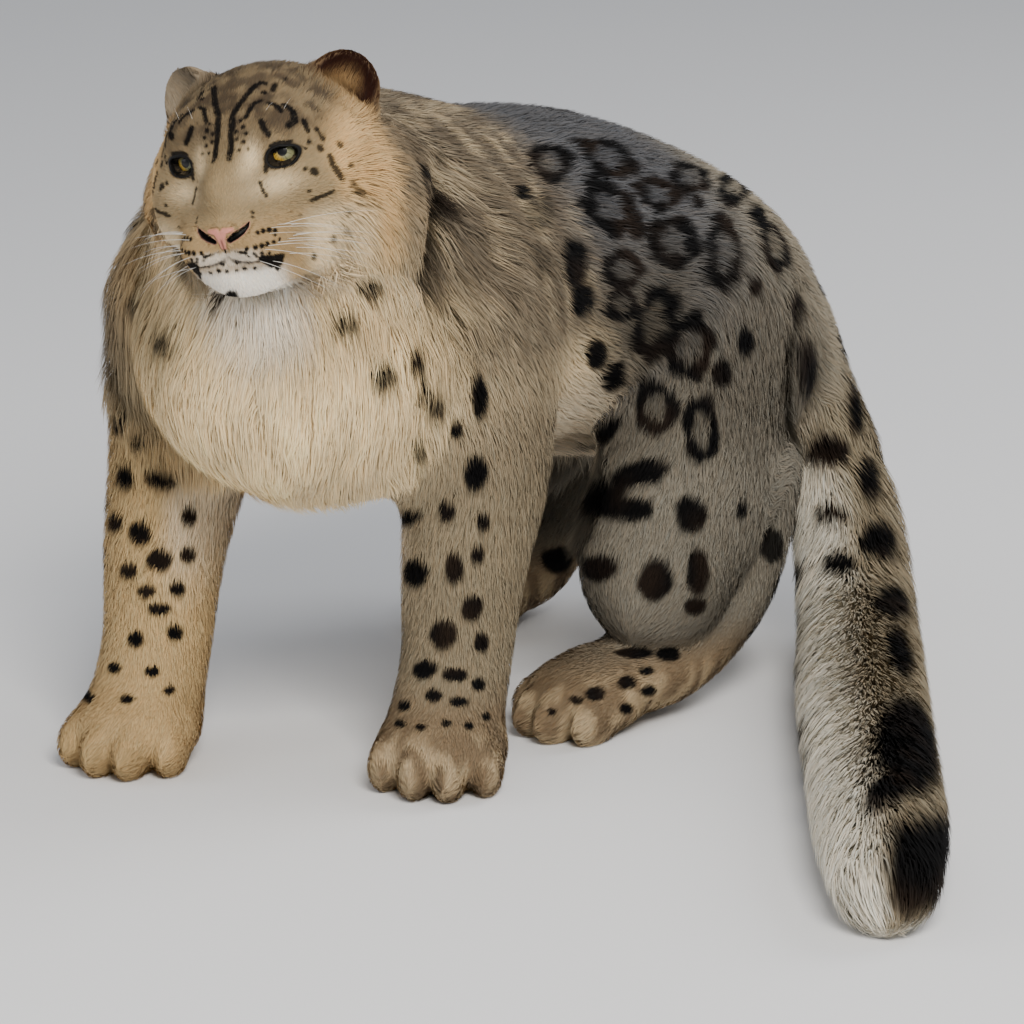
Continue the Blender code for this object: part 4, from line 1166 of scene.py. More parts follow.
def leg_colours(points, normals):
    height, across = points[:, 2], normals[:, 0]
    leg = mix(np.tile(linear(LEG), (len(points), 1)), PAW, ramp(-height, -0.10, -0.05))
    toes = ramp(noise(points * (1, 1, 0.4), 110, 21), 0.35, 0.65) * ramp(-height, -0.065, -0.035)
    leg = mix(leg, CREAM, toes * 0.45)
    inner = ramp(height, 0.12, 0.24)
    left = mix(leg, SHOULDER, ramp(height, 0.22, 0.34) * 0.8)
    left = mix(left, BELLY, ramp(-across, 0.2, 0.7) * inner)
    right = mix(leg, FAR_LEG, ramp(-height, -0.36, -0.26) * 0.8)
    right = mix(right, SHOULDER, ramp(height, 0.26, 0.36) * 0.7)
    right = mix(right, BELLY, ramp(across, 0.6, 0.95) * inner)
    hind = mix(mix(leg, HIND, ramp(height, 0.05, 0.09) * 0.9), FLANK, ramp(height, 0.20, 0.28) * 0.6)
    return {"fore_left": left, "fore_right": right, "hind_left": hind, "hind_right": hind}


def tail_colours(points, normals):
    """Pale below and on the side towards the picture's left, most where the tail is low."""
    pale = ramp(np.maximum(-normals[:, 2], -normals @ np.array(RIGHT) * 0.9), -0.10, 0.50)
    pale = pale * (0.35 + 0.65 * ramp(-points[:, 2], -0.24, -0.12))
    return mix(np.tile(linear(TAIL_TOP), (len(points), 1)), TAIL_UNDER, pale)


def with_ears(colours, coat):
    """The colours with those of the ears: painted shade in the cups, golden at the lower inner edge, the far
    ear pale.
    """
    wide, low = np.abs(coat.local[:, 0]), -coat.local[:, 2]
    in_cup = np.max([ramp(-cup.distance(coat.points), -0.0040, -0.0012) for _, cup in EARS], axis=0)
    golden = coat.ear * in_cup * ramp(low, -0.068, -0.040) * ramp(-wide, -0.080, -0.056)
    colours = mix(colours, EAR_OUT, coat.ear)
    # Painted shade: the inside of each ear cup is darkened
    colours = mix(colours, EAR_CUP_SHADE, coat.ear * in_cup)
    colours = mix(colours, OCHRE, golden * 0.7)
    return mix(colours, FAR_EAR, coat.ear * ramp(-coat.local[:, 0], 0.0, 0.01) * 0.7)


def base_colours(coat, normals):
    """The coat's ground colour at each point, before its marks."""
    points = coat.points
    ways = {
        "trunk": trunk_colours(points, normals),
        "head": head_colours(points, coat.local),
        "tail": tail_colours(points, normals),
        **leg_colours(points, normals),
    }
    total = with_ears(sum(coat.weights[name][:, None] * ways[name] for name in PARTS), coat)
    return total * (0.90 + 0.20 * noise(points, 24, 6))[:, None]


# Lines and dots of the face, by pixels of the photograph and half the width in pixels. The face is
# the same on both sides, so only its left half is given
FACE_LINES = (
    (((229, 158), (230, 149), (231, 130), (233, 114), (239, 104), (244, 97), (252, 87),
      (261, 80)), 2.5),
    (((245, 117), (249, 110), (254, 103), (261, 99)), 1.9),
    (((268, 101), (276, 104), (281, 110)), 2.1),
    (((285, 104), (294, 110), (296, 119), (288, 125)), 2.8),
    (((305, 121), (309, 129)), 2.8),
    (((319, 129), (324, 136)), 2.8),
    (((331, 156), (334, 164), (339, 171), (344, 177)), 3.0),
    (((361, 191), (372, 193)), 2.8),
    (((366, 206), (382, 206)), 2.4),
    (((335, 191), (324, 196), (309, 202)), 1.3),
    (((261, 181), (263, 188), (267, 196)), 1.5),
    (((261, 120), (264, 128), (268, 134)), 2.4),
    (((275, 82), (273, 88)), 2.2),
    (((268, 160), (267, 165), (266, 170)), 2.3),
    (((297, 145), (307, 147)), 1.3),
    (((270, 146), (275, 143), (283, 142), (292, 142)), 1.2),
    (((263, 260), (272, 260), (282, 258)), 4.4),
    (((268, 262), (275, 265), (279, 264)), 4.6),
    (((277, 268), (279, 270)), 2.0),
    (((230, 251), (238, 253), (247, 254)), 0.8),
)
FACE_DOTS = (
    (243, 126, 1.8), (245, 133, 1.6), (243, 142, 1.8), (236, 131, 1.6), (236, 139, 1.6), (238, 150, 1.3),
    (248, 149, 1.2), (240, 120, 1.4), (310, 141, 2.2), (321, 147, 3.2), (342, 143, 3.6), (315, 171, 3.4),
    (306, 168, 1.8), (359, 183, 4.2), (355, 163, 2.8), (354, 199, 3.0), (355, 217, 3.0), (301, 215, 1.4),
    (309, 191, 1.4), (264, 91, 2.4), (265, 81, 2.0), (286, 76, 2.4), (346, 256, 4.0), (336, 241, 3.8),
    (351, 236, 3.8), (316, 257, 3.0), (253, 212, 1.6), (252, 216, 1.2), (257, 232, 1.8), (263, 230, 2.2),
    (270, 229, 2.4), (276, 230, 1.7), (276, 235, 1.3), (246, 250, 1.4), (255, 248, 1.8), (262, 246, 2.1),
    (268, 244, 2.1), (275, 242, 1.9), (281, 240, 1.4), (246, 254, 1.4), (254, 254, 1.4), (262, 254, 1.4),
    (270, 254, 1.2), (249, 257, 1.0), (256, 257, 1.4), (236, 264, 1.4), (237, 271, 1.4), (244, 269, 2.0),
    (255, 270, 1.4),
)


def face_strokes():
    """The lines and dots as chains of points on the left of the head, with half widths."""
    chains = list(FACE_LINES) + [((dot[:2],) * 2, dot[2]) for dot in FACE_DOTS]
    spots = head_line([pixel for chain, _ in chains for pixel in chain])
    ends = np.cumsum([len(chain) for chain, _ in chains])[:-1]
    return [(line, half * FACE_PIXEL) for line, (_, half) in zip(np.split(spots, ends), chains)]


FACE_STROKES = face_strokes()


def face_darkness(points, share):
    """How dark the lines of the face make each point. Share is how far it belongs to the head."""
    local = in_head(points)
    dark = np.zeros(len(local))
    face = np.flatnonzero((local[:, 1] < 0.07) & (share > 0.05))
    both = both_sides(local[face])
    both += 0.0009 * np.stack([noise(both, 160, seed) - 0.5 for seed in (11, 12, 13)], axis=1) * 2
    found = np.zeros(len(face))
    depth = np.minimum(outline_distance(points[face]), 0)
    for line, half in FACE_STROKES:
        near = np.flatnonzero(np.linalg.norm(both - line.mean(axis=0), axis=1) < 0.06)
        off = np.sqrt(np.maximum(line_distance(both[near], line) ** 2 - depth[near] ** 2, 0))
        stroke = 1 - ramp(off, half * 0.95, half * 1.35 + 0.0009)
        found[near] = np.maximum(found[near], stroke)
    found = np.maximum(found, 1 - ramp(line_distance(both, MOUTH), 0.0012, 0.0030))
    found = np.maximum(found, 1 - ramp(line_distance(both, PHILTRUM), 0.0008, 0.0022))
    found = np.maximum(found, 1 - ramp(np.min(nose_distances(both), axis=0), -0.0008, -0.0002))
    for side in (1, -1):
        eye = in_eye(points[face], side)
        rim = (1 - ramp(opening_size(eye), 1.20, 1.34)) * (eye[:, 1] > 0)
        found = np.maximum(found, rim)
    dark[face] = found * share[face]
    return dark


def marked(colours, points, share, marks):
    """The ground colours with the marks laid over them."""
    dark, inner = marks.at(points)
    colours = colours * (1 - 0.30 * inner * (1 - dark))[:, None]
    brown = ramp(noise(points, 35, 8), 0.4, 0.9)[:, None]
    ink = linear(MARK) + (linear(MARK_BROWN) - linear(MARK)) * brown
    colours = colours + (ink - colours) * dark[:, None]
    lines = face_darkness(points, share)
    return colours + (linear(MARK) - colours) * lines[:, None]


# How dense the tufts are beside one another, and how wide each is in metres, by part of the body
DENSITY = {"trunk": 34, "head": 82, "fore": 44, "hind": 42, "tail": 31}
WIDTH = {"trunk": 0.0012, "head": 0.0008, "fore": 0.0010, "hind": 0.0010, "tail": 0.0015}
MOST_TUFTS = 64000
UNWRAP_CELLS = (7, 6)
UNWRAP_MARGIN = 0.04
PATCH = 0.003


def unwrap(points, normals, part, spread):
    """Each point's place on six flat views of its own part of the body, laid side by side."""
    axis = np.argmax(np.abs(normals), axis=1)
    facing = axis * 2 + (normals[np.arange(len(normals)), axis] > 0)
    low, high = spread
    place = (points - low[part]) / (high[part] - low[part])
    one = np.choose(axis, (place[:, 1], place[:, 0], place[:, 0]))
    two = np.choose(axis, (place[:, 2], place[:, 2], place[:, 1]))
    inside = np.stack([one, two], axis=1) * (1 - 2 * UNWRAP_MARGIN) + UNWRAP_MARGIN
    return (inside + np.stack([part, facing], axis=1)) / UNWRAP_CELLS


class Skin:
    """What the coat needs to know of the skin at each of its vertices."""

    def __init__(self, mesh):
        self.mesh = mesh
        self.places = places_of(mesh)
        self.normals = normals_of(mesh)
        self.coat = Coat(self.places)
        self.lie = self.coat.lie()
        self.part = np.argmax([self.coat.weights[name] for name in PARTS], axis=0)
        low = [self.places[self.part == i].min(0) for i in range(len(PARTS))]
        high = [self.places[self.part == i].max(0) for i in range(len(PARTS))]
        self.spread = (np.array(low), np.array(high))
        self.tree = KDTree(len(self.places))
        for i, place in enumerate(self.places):
            self.tree.insert(place, i)
        self.tree.balance()

    def nearest(self, points):
        find = self.tree.find
        return np.array([find(point)[1] for point in points])


def coat_group(skin, chosen):
    """The piece of coat that each tuft belongs to, by the vertex of the skin that it is nearest."""
    part = skin.part[chosen]
    local, places = skin.coat.local[chosen], skin.places[chosen]
    names = np.array([
        "coat_left_side", "coat_right_side", "coat_chest", "coat_face", "coat_crown", "coat_left_foreleg",
        "coat_right_foreleg", "coat_left_hindleg", "coat_right_hindleg", "coat_tail_upper",
        "coat_tail_lower",
    ])
    group = np.where(places[:, 0] > 0.02, 0, 1)
    group = np.where(places[:, 1] < -0.27, 2, group)
    group = np.where(part == 1, np.where(local[:, 1] < -0.015, 3, 4), group)
    for index in (2, 3, 4, 5):
        group = np.where(part == index, index + 3, group)
    group = np.where(part == 6, np.where(places[:, 1] > 0.10, 9, 10), group)
    return group, names


TUFTS = 465000
SMOOTHED = 0.88
ROOT_SUNK = 0.0008
FLOOR_GAP = 0.0015
TUFTS_TO_A_LOCK = 26
LOCK_LENGTH = 0.060


def is_bare(points):
    """The nose leather, the eyes and the line of the mouth."""
    both = both_sides(in_head(points))
    bare = (np.min(nose_distances(both), axis=0) < -0.0004) | (line_distance(both, MOUTH) < 0.0010)
    for side in (1, -1):
        eye = in_eye(points, side)
        bare |= (opening_size(eye) < 1.14) & (eye[:, 1] > 0) & (np.linalg.norm(eye, axis=1) < 0.03)
    return bare


class Tufts:
    """Every tuft of the coat: five corners each, their colours and their place on the unwrap."""

    def __init__(self, skin, marks, base):
        self.skin = skin
        self.draw = np.random.default_rng(21)
        self.scatter()
        self.grow()
        self.shape()
        self.paint(marks, base)
        self.unwrap = unwrap(self.root, self.face_normals, self.part, skin.spread)

    def blend(self, values):
        """The vertices' values at each tuft's root."""
        values = values[self.chosen]
        share = self.share[..., None] if values.ndim == 3 else self.share
        return (values * share).sum(axis=1)

    def scatter(self):
        """Chooses a triangle of the skin and a place on it for each root."""
        skin, draw = self.skin, self.draw
        corners = triangles_of(skin.mesh)
        places = skin.places[corners]
        cross = np.cross(places[:, 1] - places[:, 0], places[:, 2] - places[:, 0])
        square_centimetres = np.linalg.norm(cross, axis=1) / 2 * 1e4
        dense = skin.coat.by_part(**DENSITY) * ~is_bare(skin.places)
        dense *= 1 + 0.5 * skin.coat.ear
        expected = square_centimetres * dense[corners].min(axis=1)
        expected *= TUFTS / expected.sum()
        number = (expected + draw.random(len(corners))).astype(int)
        triangle = np.repeat(np.arange(len(corners)), number)
        self.count = len(triangle)
        a, b = draw.random((2, self.count))
        a, b = np.where(a + b > 1, 1 - a, a), np.where(a + b > 1, 1 - b, b)
        self.share = np.stack([1 - a - b, a, b], axis=1)
        self.chosen = corners[triangle]
        self.face_normals = unit(cross)[triangle]
        self.vertex = self.chosen[:, 0]
        self.part = skin.part[self.vertex]
        self.root = self.blend(skin.places)
        self.normal = unit(self.blend(skin.normals))
        self.head = self.blend(skin.coat.weights["head"])

    def swirled(self):
        """The lie at each root, along the skin and turned a little."""
        swirl = 0.55 * (noise(self.root, 16, 31) - 0.5) + 0.40 * (noise(self.root, 60, 32) - 0.5)
        swirl += self.draw.normal(0, 0.12, self.count)
        lie, normal = self.blend(self.skin.lie), self.normal
        lie = unit(lie - normal * (lie * normal).sum(1)[:, None])
        across = np.cross(normal, lie)
        return unit(lie * np.cos(swirl)[:, None] + across * np.sin(swirl)[:, None])

    def grow(self):
        """Lays each tuft from its root over a middle to its tip."""
        skin, draw = self.skin, self.draw
        lie = self.swirled()
        size = draw.uniform(0.72, 1.18, self.count) * (0.85 + 0.3 * noise(self.root, 40, 33))
        length = self.blend(skin.coat.length) * size
        rise = draw.uniform(0.50, 1.05, self.count) * self.blend(skin.coat.depth) * (1 - 0.25 * self.head)
        self.root -= self.normal * ROOT_SUNK
        middle = self.root + lie * (length * 0.5)[:, None]
        at = skin.nearest(middle)
        middle = self.lifted(skin, middle, at, rise * 0.72)
        bend = unit(lie * 0.6 + self.laid(skin, at) * 0.4)
        tip = middle + bend * (length * 0.5)[:, None]
        loose = 1 - 0.6 * self.blend(skin.coat.weights["tail"])
        tip = self.gathered(tip, self.root, length, loose, draw)
        tip = self.lifted(skin, tip, skin.nearest(tip), rise)
        low = np.minimum(tip[:, 2], middle[:, 2]) < FLOOR_GAP
        tip[:, 2] = np.maximum(tip[:, 2], FLOOR_GAP)
        middle[:, 2] = np.maximum(middle[:, 2], FLOOR_GAP)
        self.root[low, 2] = np.maximum(self.root[low, 2], FLOOR_GAP)
        self.middle, self.tip = middle, tip

    def shape(self):
        """The five corners, and normals that are mostly the skin's."""
        root, middle, tip = self.root, self.middle, self.tip
        roll = self.draw.uniform(-0.5, 0.5, self.count)
        flat = unit(np.cross(self.normal, tip - root))
        flat = unit(flat * np.cos(roll)[:, None] + self.normal * np.sin(roll)[:, None])
        width = self.blend(self.skin.coat.by_part(**WIDTH))
        wide = flat * (width * self.draw.uniform(0.7, 1.2, self.count) * 0.5)[:, None]
        self.corners = np.stack(
            [root - wide, root + wide, middle - wide * 0.8, middle + wide * 0.8, tip], axis=1
        )
        facing = np.cross(tip - root, flat)
        self.normals = unit(self.normal * SMOOTHED + unit(facing) * (1 - SMOOTHED))

    def paint(self, marks, base):
        """Darker at the root as painted shade deep in the coat, and paler at the tip, with the marks as the
        skin has them.
        """
        draw, middle = self.draw, self.middle
        ground = self.blend(base)
        ground = ground * draw.normal(1, 0.05, self.count).clip(0.8, 1.2)[:, None]
        warm = draw.normal(0, 0.03, self.count)
        ground = ground * (1 + warm[:, None] * (1, 0, -1))
        inner = marked(ground, middle, self.head, marks)
        outer = marked(ground, middle * 0.25 + self.tip * 0.75, self.head, marks)
        pale = 1 + 0.08 * draw.random(self.count)[:, None]
        # Painted shade: the root and the middle of each tuft are darkened, as if shaded deep in the coat
        deep = 0.84 * inner
        self.colours = np.stack([deep, deep, inner * 0.96, inner * 0.96, outer * pale], axis=1)

    @staticmethod
    def lifted(skin, points, at, heights):
        """The points moved to those heights over the skin."""
        normals = skin.normals[at]
        now = ((points - skin.places[at]) * normals).sum(1)
        return points + normals * (heights - now)[:, None]

    @staticmethod
    def laid(skin, at):
        normals = skin.normals[at]
        lie = skin.lie[at]
        return unit(lie - normals * (lie * normals).sum(1)[:, None])

    @staticmethod
    def gathered(tips, roots, lengths, loose, draw):
        """Draws the tips of neighbouring tufts together, into locks."""
        centres = draw.choice(len(roots), len(roots) // TUFTS_TO_A_LOCK, replace=False)
        tree = KDTree(len(centres))
        for i, centre in enumerate(centres):
            tree.insert(roots[centre], i)
        tree.balance()
        nearest = centres[[tree.find(root)[1] for root in roots]]
        pull = (np.clip(lengths / LOCK_LENGTH, 0.10, 0.45) * loose)[:, None]
        goal = roots + (tips[nearest] - roots[nearest])
        goal += (tips[nearest] - goal) * 0.75
        return tips + (goal - tips) * pull


CORNER_ORDER = np.array([1, 0, 2, 3, 3, 2, 4])
PATCH_CORNERS = np.array([(1, -1), (-1, -1), (-0.8, 0.2), (0.8, 0.2), (0.8, 0.2), (-0.8, 0.2), (0, 1)])


def tuft_mesh(name, tufts, chosen):
    """One piece of coat. Each tuft is a quad and a triangle, and is lit much as the skin under it."""
    corners, places = tufts.corners[chosen], tufts.unwrap[chosen]
    count = len(corners)
    mesh = bpy.data.meshes.new(name)
    mesh.vertices.add(count * 5)
    mesh.vertices.foreach_set("co", corners.astype(np.float32).ravel())
    mesh.loops.add(count * 7)
    loops = np.arange(count)[:, None] * 5 + CORNER_ORDER
    mesh.loops.foreach_set("vertex_index", loops.astype(np.int32).ravel())
    mesh.polygons.add(count * 2)
    starts = np.arange(count)[:, None] * 7 + (0, 4)
    mesh.polygons.foreach_set("loop_start", starts.astype(np.int32).ravel())
    mesh.update(calc_edges=True)
    add_colours(mesh, tufts.colours[chosen].reshape(-1, 3))
    patches = places[:, None] + PATCH_CORNERS * PATCH / 2
    uv = mesh.uv_layers.new(name="OFBake")
    uv.data.foreach_set("uv", patches.astype(np.float32).ravel())
    mesh.shade_smooth()
    mesh.normals_split_custom_set_from_vertices(np.repeat(tufts.normals[chosen], 5, axis=0))
    return new_object(name, mesh)


def add_colours(mesh, colours):
    layer = mesh.color_attributes.new(name="Coat", type="FLOAT_COLOR", domain="POINT")
    rows = np.ones((len(colours), 4), np.float32)
    rows[:, :3] = np.clip(colours, 0, 1)
    layer.data.foreach_set("color", rows.ravel())


def make_coat(skin, marks, base):
    """The coat as pieces that each have at most MOST_TUFTS."""
    tufts = Tufts(skin, marks, base)
    group, names = coat_group(skin, tufts.vertex)
    made = []
    for index, name in enumerate(names):
        chosen = np.flatnonzero(group == index)
        shares = np.array_split(chosen, math.ceil(len(chosen) / MOST_TUFTS))
        for number, share in enumerate(shares):
            title = str(name) if len(shares) == 1 else f"{name}_{number + 1}"
            made.append(tuft_mesh(title, tufts, share))
    return made


# Materials
def new_material(name, roughness, specular=0.3):
    material = bpy.data.materials.new(name)
    material.use_nodes = True
    shader = material.node_tree.nodes["Principled BSDF"]
    shader.inputs["Roughness"].default_value = roughness
    shader.inputs["Specular IOR Level"].default_value = specular
    return material, shader


def add_node(material, kind, **sockets):
    node = material.node_tree.nodes.new(kind)
    for name, value in sockets.items():
        node.inputs[name.replace("_", " ")].default_value = value
    return node


def link(material, one, two):
    material.node_tree.links.new(one, two)


def varied_colour(material, shader, scale, low, high, stretch=(1, 1, 1)):
    """The mesh's own colours, a little lighter and darker by a noise."""
    colour = add_node(material, "ShaderNodeVertexColor")
    colour.layer_name = "Coat"
    place = add_node(material, "ShaderNodeTexCoord")
    stretched = add_node(material, "ShaderNodeMapping", Scale=stretch)
    grain = add_node(material, "ShaderNodeTexNoise", Scale=scale, Detail=4.0)
    span = add_node(material, "ShaderNodeMapRange", To_Min=low, To_Max=high)
    product = add_node(material, "ShaderNodeVectorMath")
    product.operation = "SCALE"
    link(material, place.outputs["Object"], stretched.inputs["Vector"])
    link(material, stretched.outputs["Vector"], grain.inputs["Vector"])
    link(material, grain.outputs["Fac"], span.inputs["Value"])
    link(material, colour.outputs["Color"], product.inputs[0])
    link(material, span.outputs["Result"], product.inputs["Scale"])
    link(material, product.outputs["Vector"], shader.inputs["Base Color"])
    return grain


def add_bump(material, shader, height, strength, distance):
    bump = add_node(material, "ShaderNodeBump", Strength=strength, Distance=distance)
    link(material, height, bump.inputs["Height"])
    link(material, bump.outputs["Normal"], shader.inputs["Normal"])


def skin_material():
    material, shader = new_material("short_fur", 0.85, 0.2)
    grain = varied_colour(material, shader, 420, 0.75, 1.2)
    add_bump(material, shader, grain.outputs["Fac"], 0.5, 0.0012)
    return material


def coat_material():
    material, shader = new_material("long_fur", 0.85, 0.12)
    varied_colour(material, shader, 300, 0.92, 1.08)
    return material


def nose_material():
    material, shader = new_material("nose_leather", 0.42, 0.45)
    varied_colour(material, shader, 350, 0.85, 1.15)
    pores = add_node(material, "ShaderNodeTexVoronoi", Scale=900.0)
    add_bump(material, shader, pores.outputs["Distance"], 0.35, 0.0004)
    return material


def eye_material():
    material, shader = new_material("wet_eye", 0.35, 0.2)
    varied_colour(material, shader, 900, 0.92, 1.08)
    shader.inputs["Coat Weight"].default_value = 0.5
    shader.inputs["Coat Roughness"].default_value = 0.02
    return material


def lid_material():
    material, shader = new_material("eyelid", 0.60, 0.2)
    varied_colour(material, shader, 700, 0.9, 1.1)
    return material


def whisker_material():
    material, shader = new_material("whisker", 0.35, 0.5)
    shader.inputs["Base Color"].default_value = (0.85, 0.83, 0.78, 1)
    return material


# Eyes: rings round the gaze, by their angle from it in degrees
IRIS_ANGLE, PUPIL_ANGLE, IRIS_EDGE = 46.0, 15.0, 41.0
IRIS_PALE = (132, 132, 98)
IRIS_GOLD = (196, 156, 58)
# Dark of the iris's spokes and edge, and of the painted shadow of the upper lid
IRIS_DARK_AND_LID_SHADE = (58, 54, 36)
PUPIL = (3, 3, 4)
SCLERA = (46, 38, 32)


def joined_rows(rows, columns):
    """The faces between rings of points, each ring closed on itself."""
    faces = []
    for row in range(rows - 1):
        for column in range(columns):
            other = (column + 1) % columns
            ring = row * columns
            faces.append((ring + column, ring + other, ring + columns + other, ring + columns + column))
    return faces


def solid_mesh(name, places, faces):
    """A mesh whose faces are turned outward."""
    mesh = bpy.data.meshes.new(name)
    mesh.from_pydata(places.tolist(), [], faces)
    shape = bmesh.new()
    shape.from_mesh(mesh)
    bmesh.ops.recalc_face_normals(shape, faces=shape.faces)
    shape.to_mesh(mesh)
    shape.free()
    return mesh


def eyeball(side, name):
    angles = np.radians(np.concatenate([np.linspace(0, 50, 56), np.linspace(54, 180, 22)]))
    turns = np.linspace(0, 2 * np.pi, 96, endpoint=False)
    radius = EYE_RADIUS - 0.0004 + 0.0004 * np.exp(-(angles / 0.55) ** 4)
    around, away = np.meshgrid(turns, angles)
    size = np.repeat(radius[:, None], len(turns), axis=1)
    local = np.stack([np.cos(around) * np.sin(away), np.cos(away), np.sin(around) * np.sin(away)], axis=2)
    local = (local * size[..., None]).reshape(-1, 3)
    places = local @ axes_of(gaze(side)).T + eye_middle(side)
    mesh = solid_mesh(name, places, joined_rows(len(angles), len(turns)))
    degrees = np.degrees(away).ravel()
    spokes = noise(np.stack([around.ravel() * 9, degrees * 0.05, degrees * 0], axis=1), 1.0, 5)
    iris = np.tile(linear(IRIS_PALE), (len(degrees), 1))
    gold = ramp(local[:, 0] - local[:, 2], 0.002, 0.009)
    iris = mix(iris, IRIS_GOLD, gold * 0.9)
    iris = mix(iris, IRIS_DARK_AND_LID_SHADE, ramp(spokes, 0.45, 0.9) * 0.5)
    # Painted shadow of the upper lid over the top of the iris
    iris = mix(iris, IRIS_DARK_AND_LID_SHADE, ramp(local[:, 2], 0.000, 0.006) * 0.9)
    iris = mix(iris, IRIS_DARK_AND_LID_SHADE, ramp(degrees, IRIS_EDGE - 6, IRIS_EDGE) * 0.8)
    iris = mix(iris, PUPIL, 1 - ramp(degrees, PUPIL_ANGLE - 1, PUPIL_ANGLE + 1.5))
    iris = mix(iris, PUPIL, ramp(degrees, IRIS_EDGE, IRIS_ANGLE))
    iris = mix(iris, SCLERA, ramp(degrees, IRIS_ANGLE + 1, IRIS_ANGLE + 6))
    add_colours(mesh, iris)
    mesh.shade_smooth()
    return new_object(name, mesh)


# Rings of a lid, from the eyeball out over the skin: size against the opening, height over the
# skin, and how dark
LID_RINGS = (
    (0.93, None, 1.0), (0.955, -0.0004, 1.0), (0.985, 0.0004, 1.0), (1.04, 0.0009, 1.0), (1.10, 0.0008, 1.0),
    (1.18, 0.0004, 1.0), (1.32, -0.0004, 0.3),
)
LID_DARK = (9, 7, 7)


def over_skin(places, out):
    """The places moved along a way until they are on the skin, before its features are cut."""
    places = places.copy()
    for _ in range(16):
        places -= out * (plain_skin(places) * 0.8)[:, None]
    return places


def eyelids(side, name, skin, colours):
    """The rolled edge round an eye, dark at the opening."""
    steps = 72
    around = np.linspace(0, 2 * np.pi, steps, endpoint=False)
    edge = np.stack([np.cos(around), np.sin(around)], axis=1) * lid_reach(around)[:, None]
    axes, middle = eye_axes(side), eye_middle(side)
    rings, shades = [], []
    for size, height, dark in LID_RINGS:
        flat = LID_MIDDLE + edge * size
        across, up = flat[:, 0] * side, flat[:, 1]
        if height is None:
            out = np.sqrt(np.maximum((EYE_RADIUS - 0.0008) ** 2 - across**2 - up**2, 0.004**2))
            ring = middle + np.stack([across, out, up], axis=1) @ axes.T
        else:
            ring = middle + np.stack([across, np.full(steps, EYE_PLANE), up], axis=1) @ axes.T
            ring = over_skin(ring, axes[:, 1]) + axes[:, 1] * height
        rings.append(ring)
        shades.append(np.full(steps, dark))
    places = np.concatenate(rings)
    mesh = bpy.data.meshes.new(name)
    mesh.from_pydata(places.tolist(), [], joined_rows(len(LID_RINGS), steps))
    fur = colours[skin.nearest(places)]
    add_colours(mesh, mix(fur, LID_DARK, np.concatenate(shades)))
    mesh.shade_smooth()
    lids = new_object(name, mesh)
    smooth = lids.modifiers.new("smooth", "SUBSURF")
    smooth.levels = smooth.render_levels = 1
    return lids


# Nose leather: a pad and two nostrils on a patch that follows the muzzle, by its half size in the
# head's frame and its points each way
NOSE_PATCH = (0.027, 0.019)
NOSE_POINTS = (131, 95)
NOSE_PROUD = 0.0012
NOSTRIL_DEPTH = 0.0075
NOSE_PINK = (188, 122, 106)
# Painted shade for the nostril pits and the groove
NOSE_HOLLOW_SHADE = (14, 10, 10)


def make_nose():
    middle = NOSE_LINE[:, 2].mean()
    columns, rows = NOSE_POINTS
    x, z = np.meshgrid(np.linspace(-NOSE_PATCH[0], NOSE_PATCH[0], columns),
                       middle + np.linspace(-NOSE_PATCH[1], NOSE_PATCH[1], rows))
    local = np.stack([x.ravel(), np.full(x.size, NOSE_AT.y), z.ravel()], axis=1)
    turned, head = np.array(HEAD_TURN), np.array(HEAD_AT)
    local = in_head(over_skin(local @ turned.T + head, -turned[:, 1]))
    both = both_sides(local)
    pad, hole = nose_distances(both)
    pit = ramp(-hole, -0.0004, 0.0022)
    inside = ramp(-np.minimum(pad, hole), -0.0014, 0.0006)
    groove = np.exp(-(local[:, 0] / 0.0008) ** 2) * ramp(middle - local[:, 2], 0.000, 0.004)
    local[:, 1] -= NOSE_PROUD * 2 * inside - NOSE_PROUD
    local[:, 1] += NOSTRIL_DEPTH * pit + 0.0009 * groove
    faces = []
    for row in range(rows - 1):
        for column in range(columns - 1):
            start = row * columns + column
            faces.append((start, start + 1, start + columns + 1, start + columns))
    mesh = bpy.data.meshes.new("nose_leather")
    mesh.from_pydata((local @ turned.T + head).tolist(), [], faces)
    colours = np.tile(linear(MUZZLE), (len(local), 1))
    colours = mix(colours, NOSE_PINK, inside)
    # Painted shade in the nostril pits and in the groove below the pad
    colours = mix(colours, NOSE_HOLLOW_SHADE, np.maximum(ramp(-hole, -0.0006, 0.0004), groove * 0.6))
    add_colours(mesh, colours)
    mesh.shade_smooth()
    return new_object("nose_leather", mesh)


# Whiskers: rows over each lip, from nearest the nose out
WHISKER_ROWS = (
    ((0.020, -0.106, -0.034), (0.036, -0.086, -0.032), 5),
    ((0.020, -0.108, -0.040), (0.039, -0.084, -0.039), 6),
    ((0.022, -0.106, -0.046), (0.040, -0.080, -0.046), 5),
)
BROW_WHISKERS = ((0.028, -0.055, 0.048), (0.040, -0.050, 0.046), 2)
BROW_ROW = len(WHISKER_ROWS)
WHISKER_RADIUS = 0.00026
WHISKER_LENGTHS = (0.050, 0.080)
BROW_RADIUS = 0.00013
BROW_LENGTH = 0.018
WHISKER_STEPS = 9
WHISKER_ROOT = 0.003
WHISKER_SPREAD = 0.10


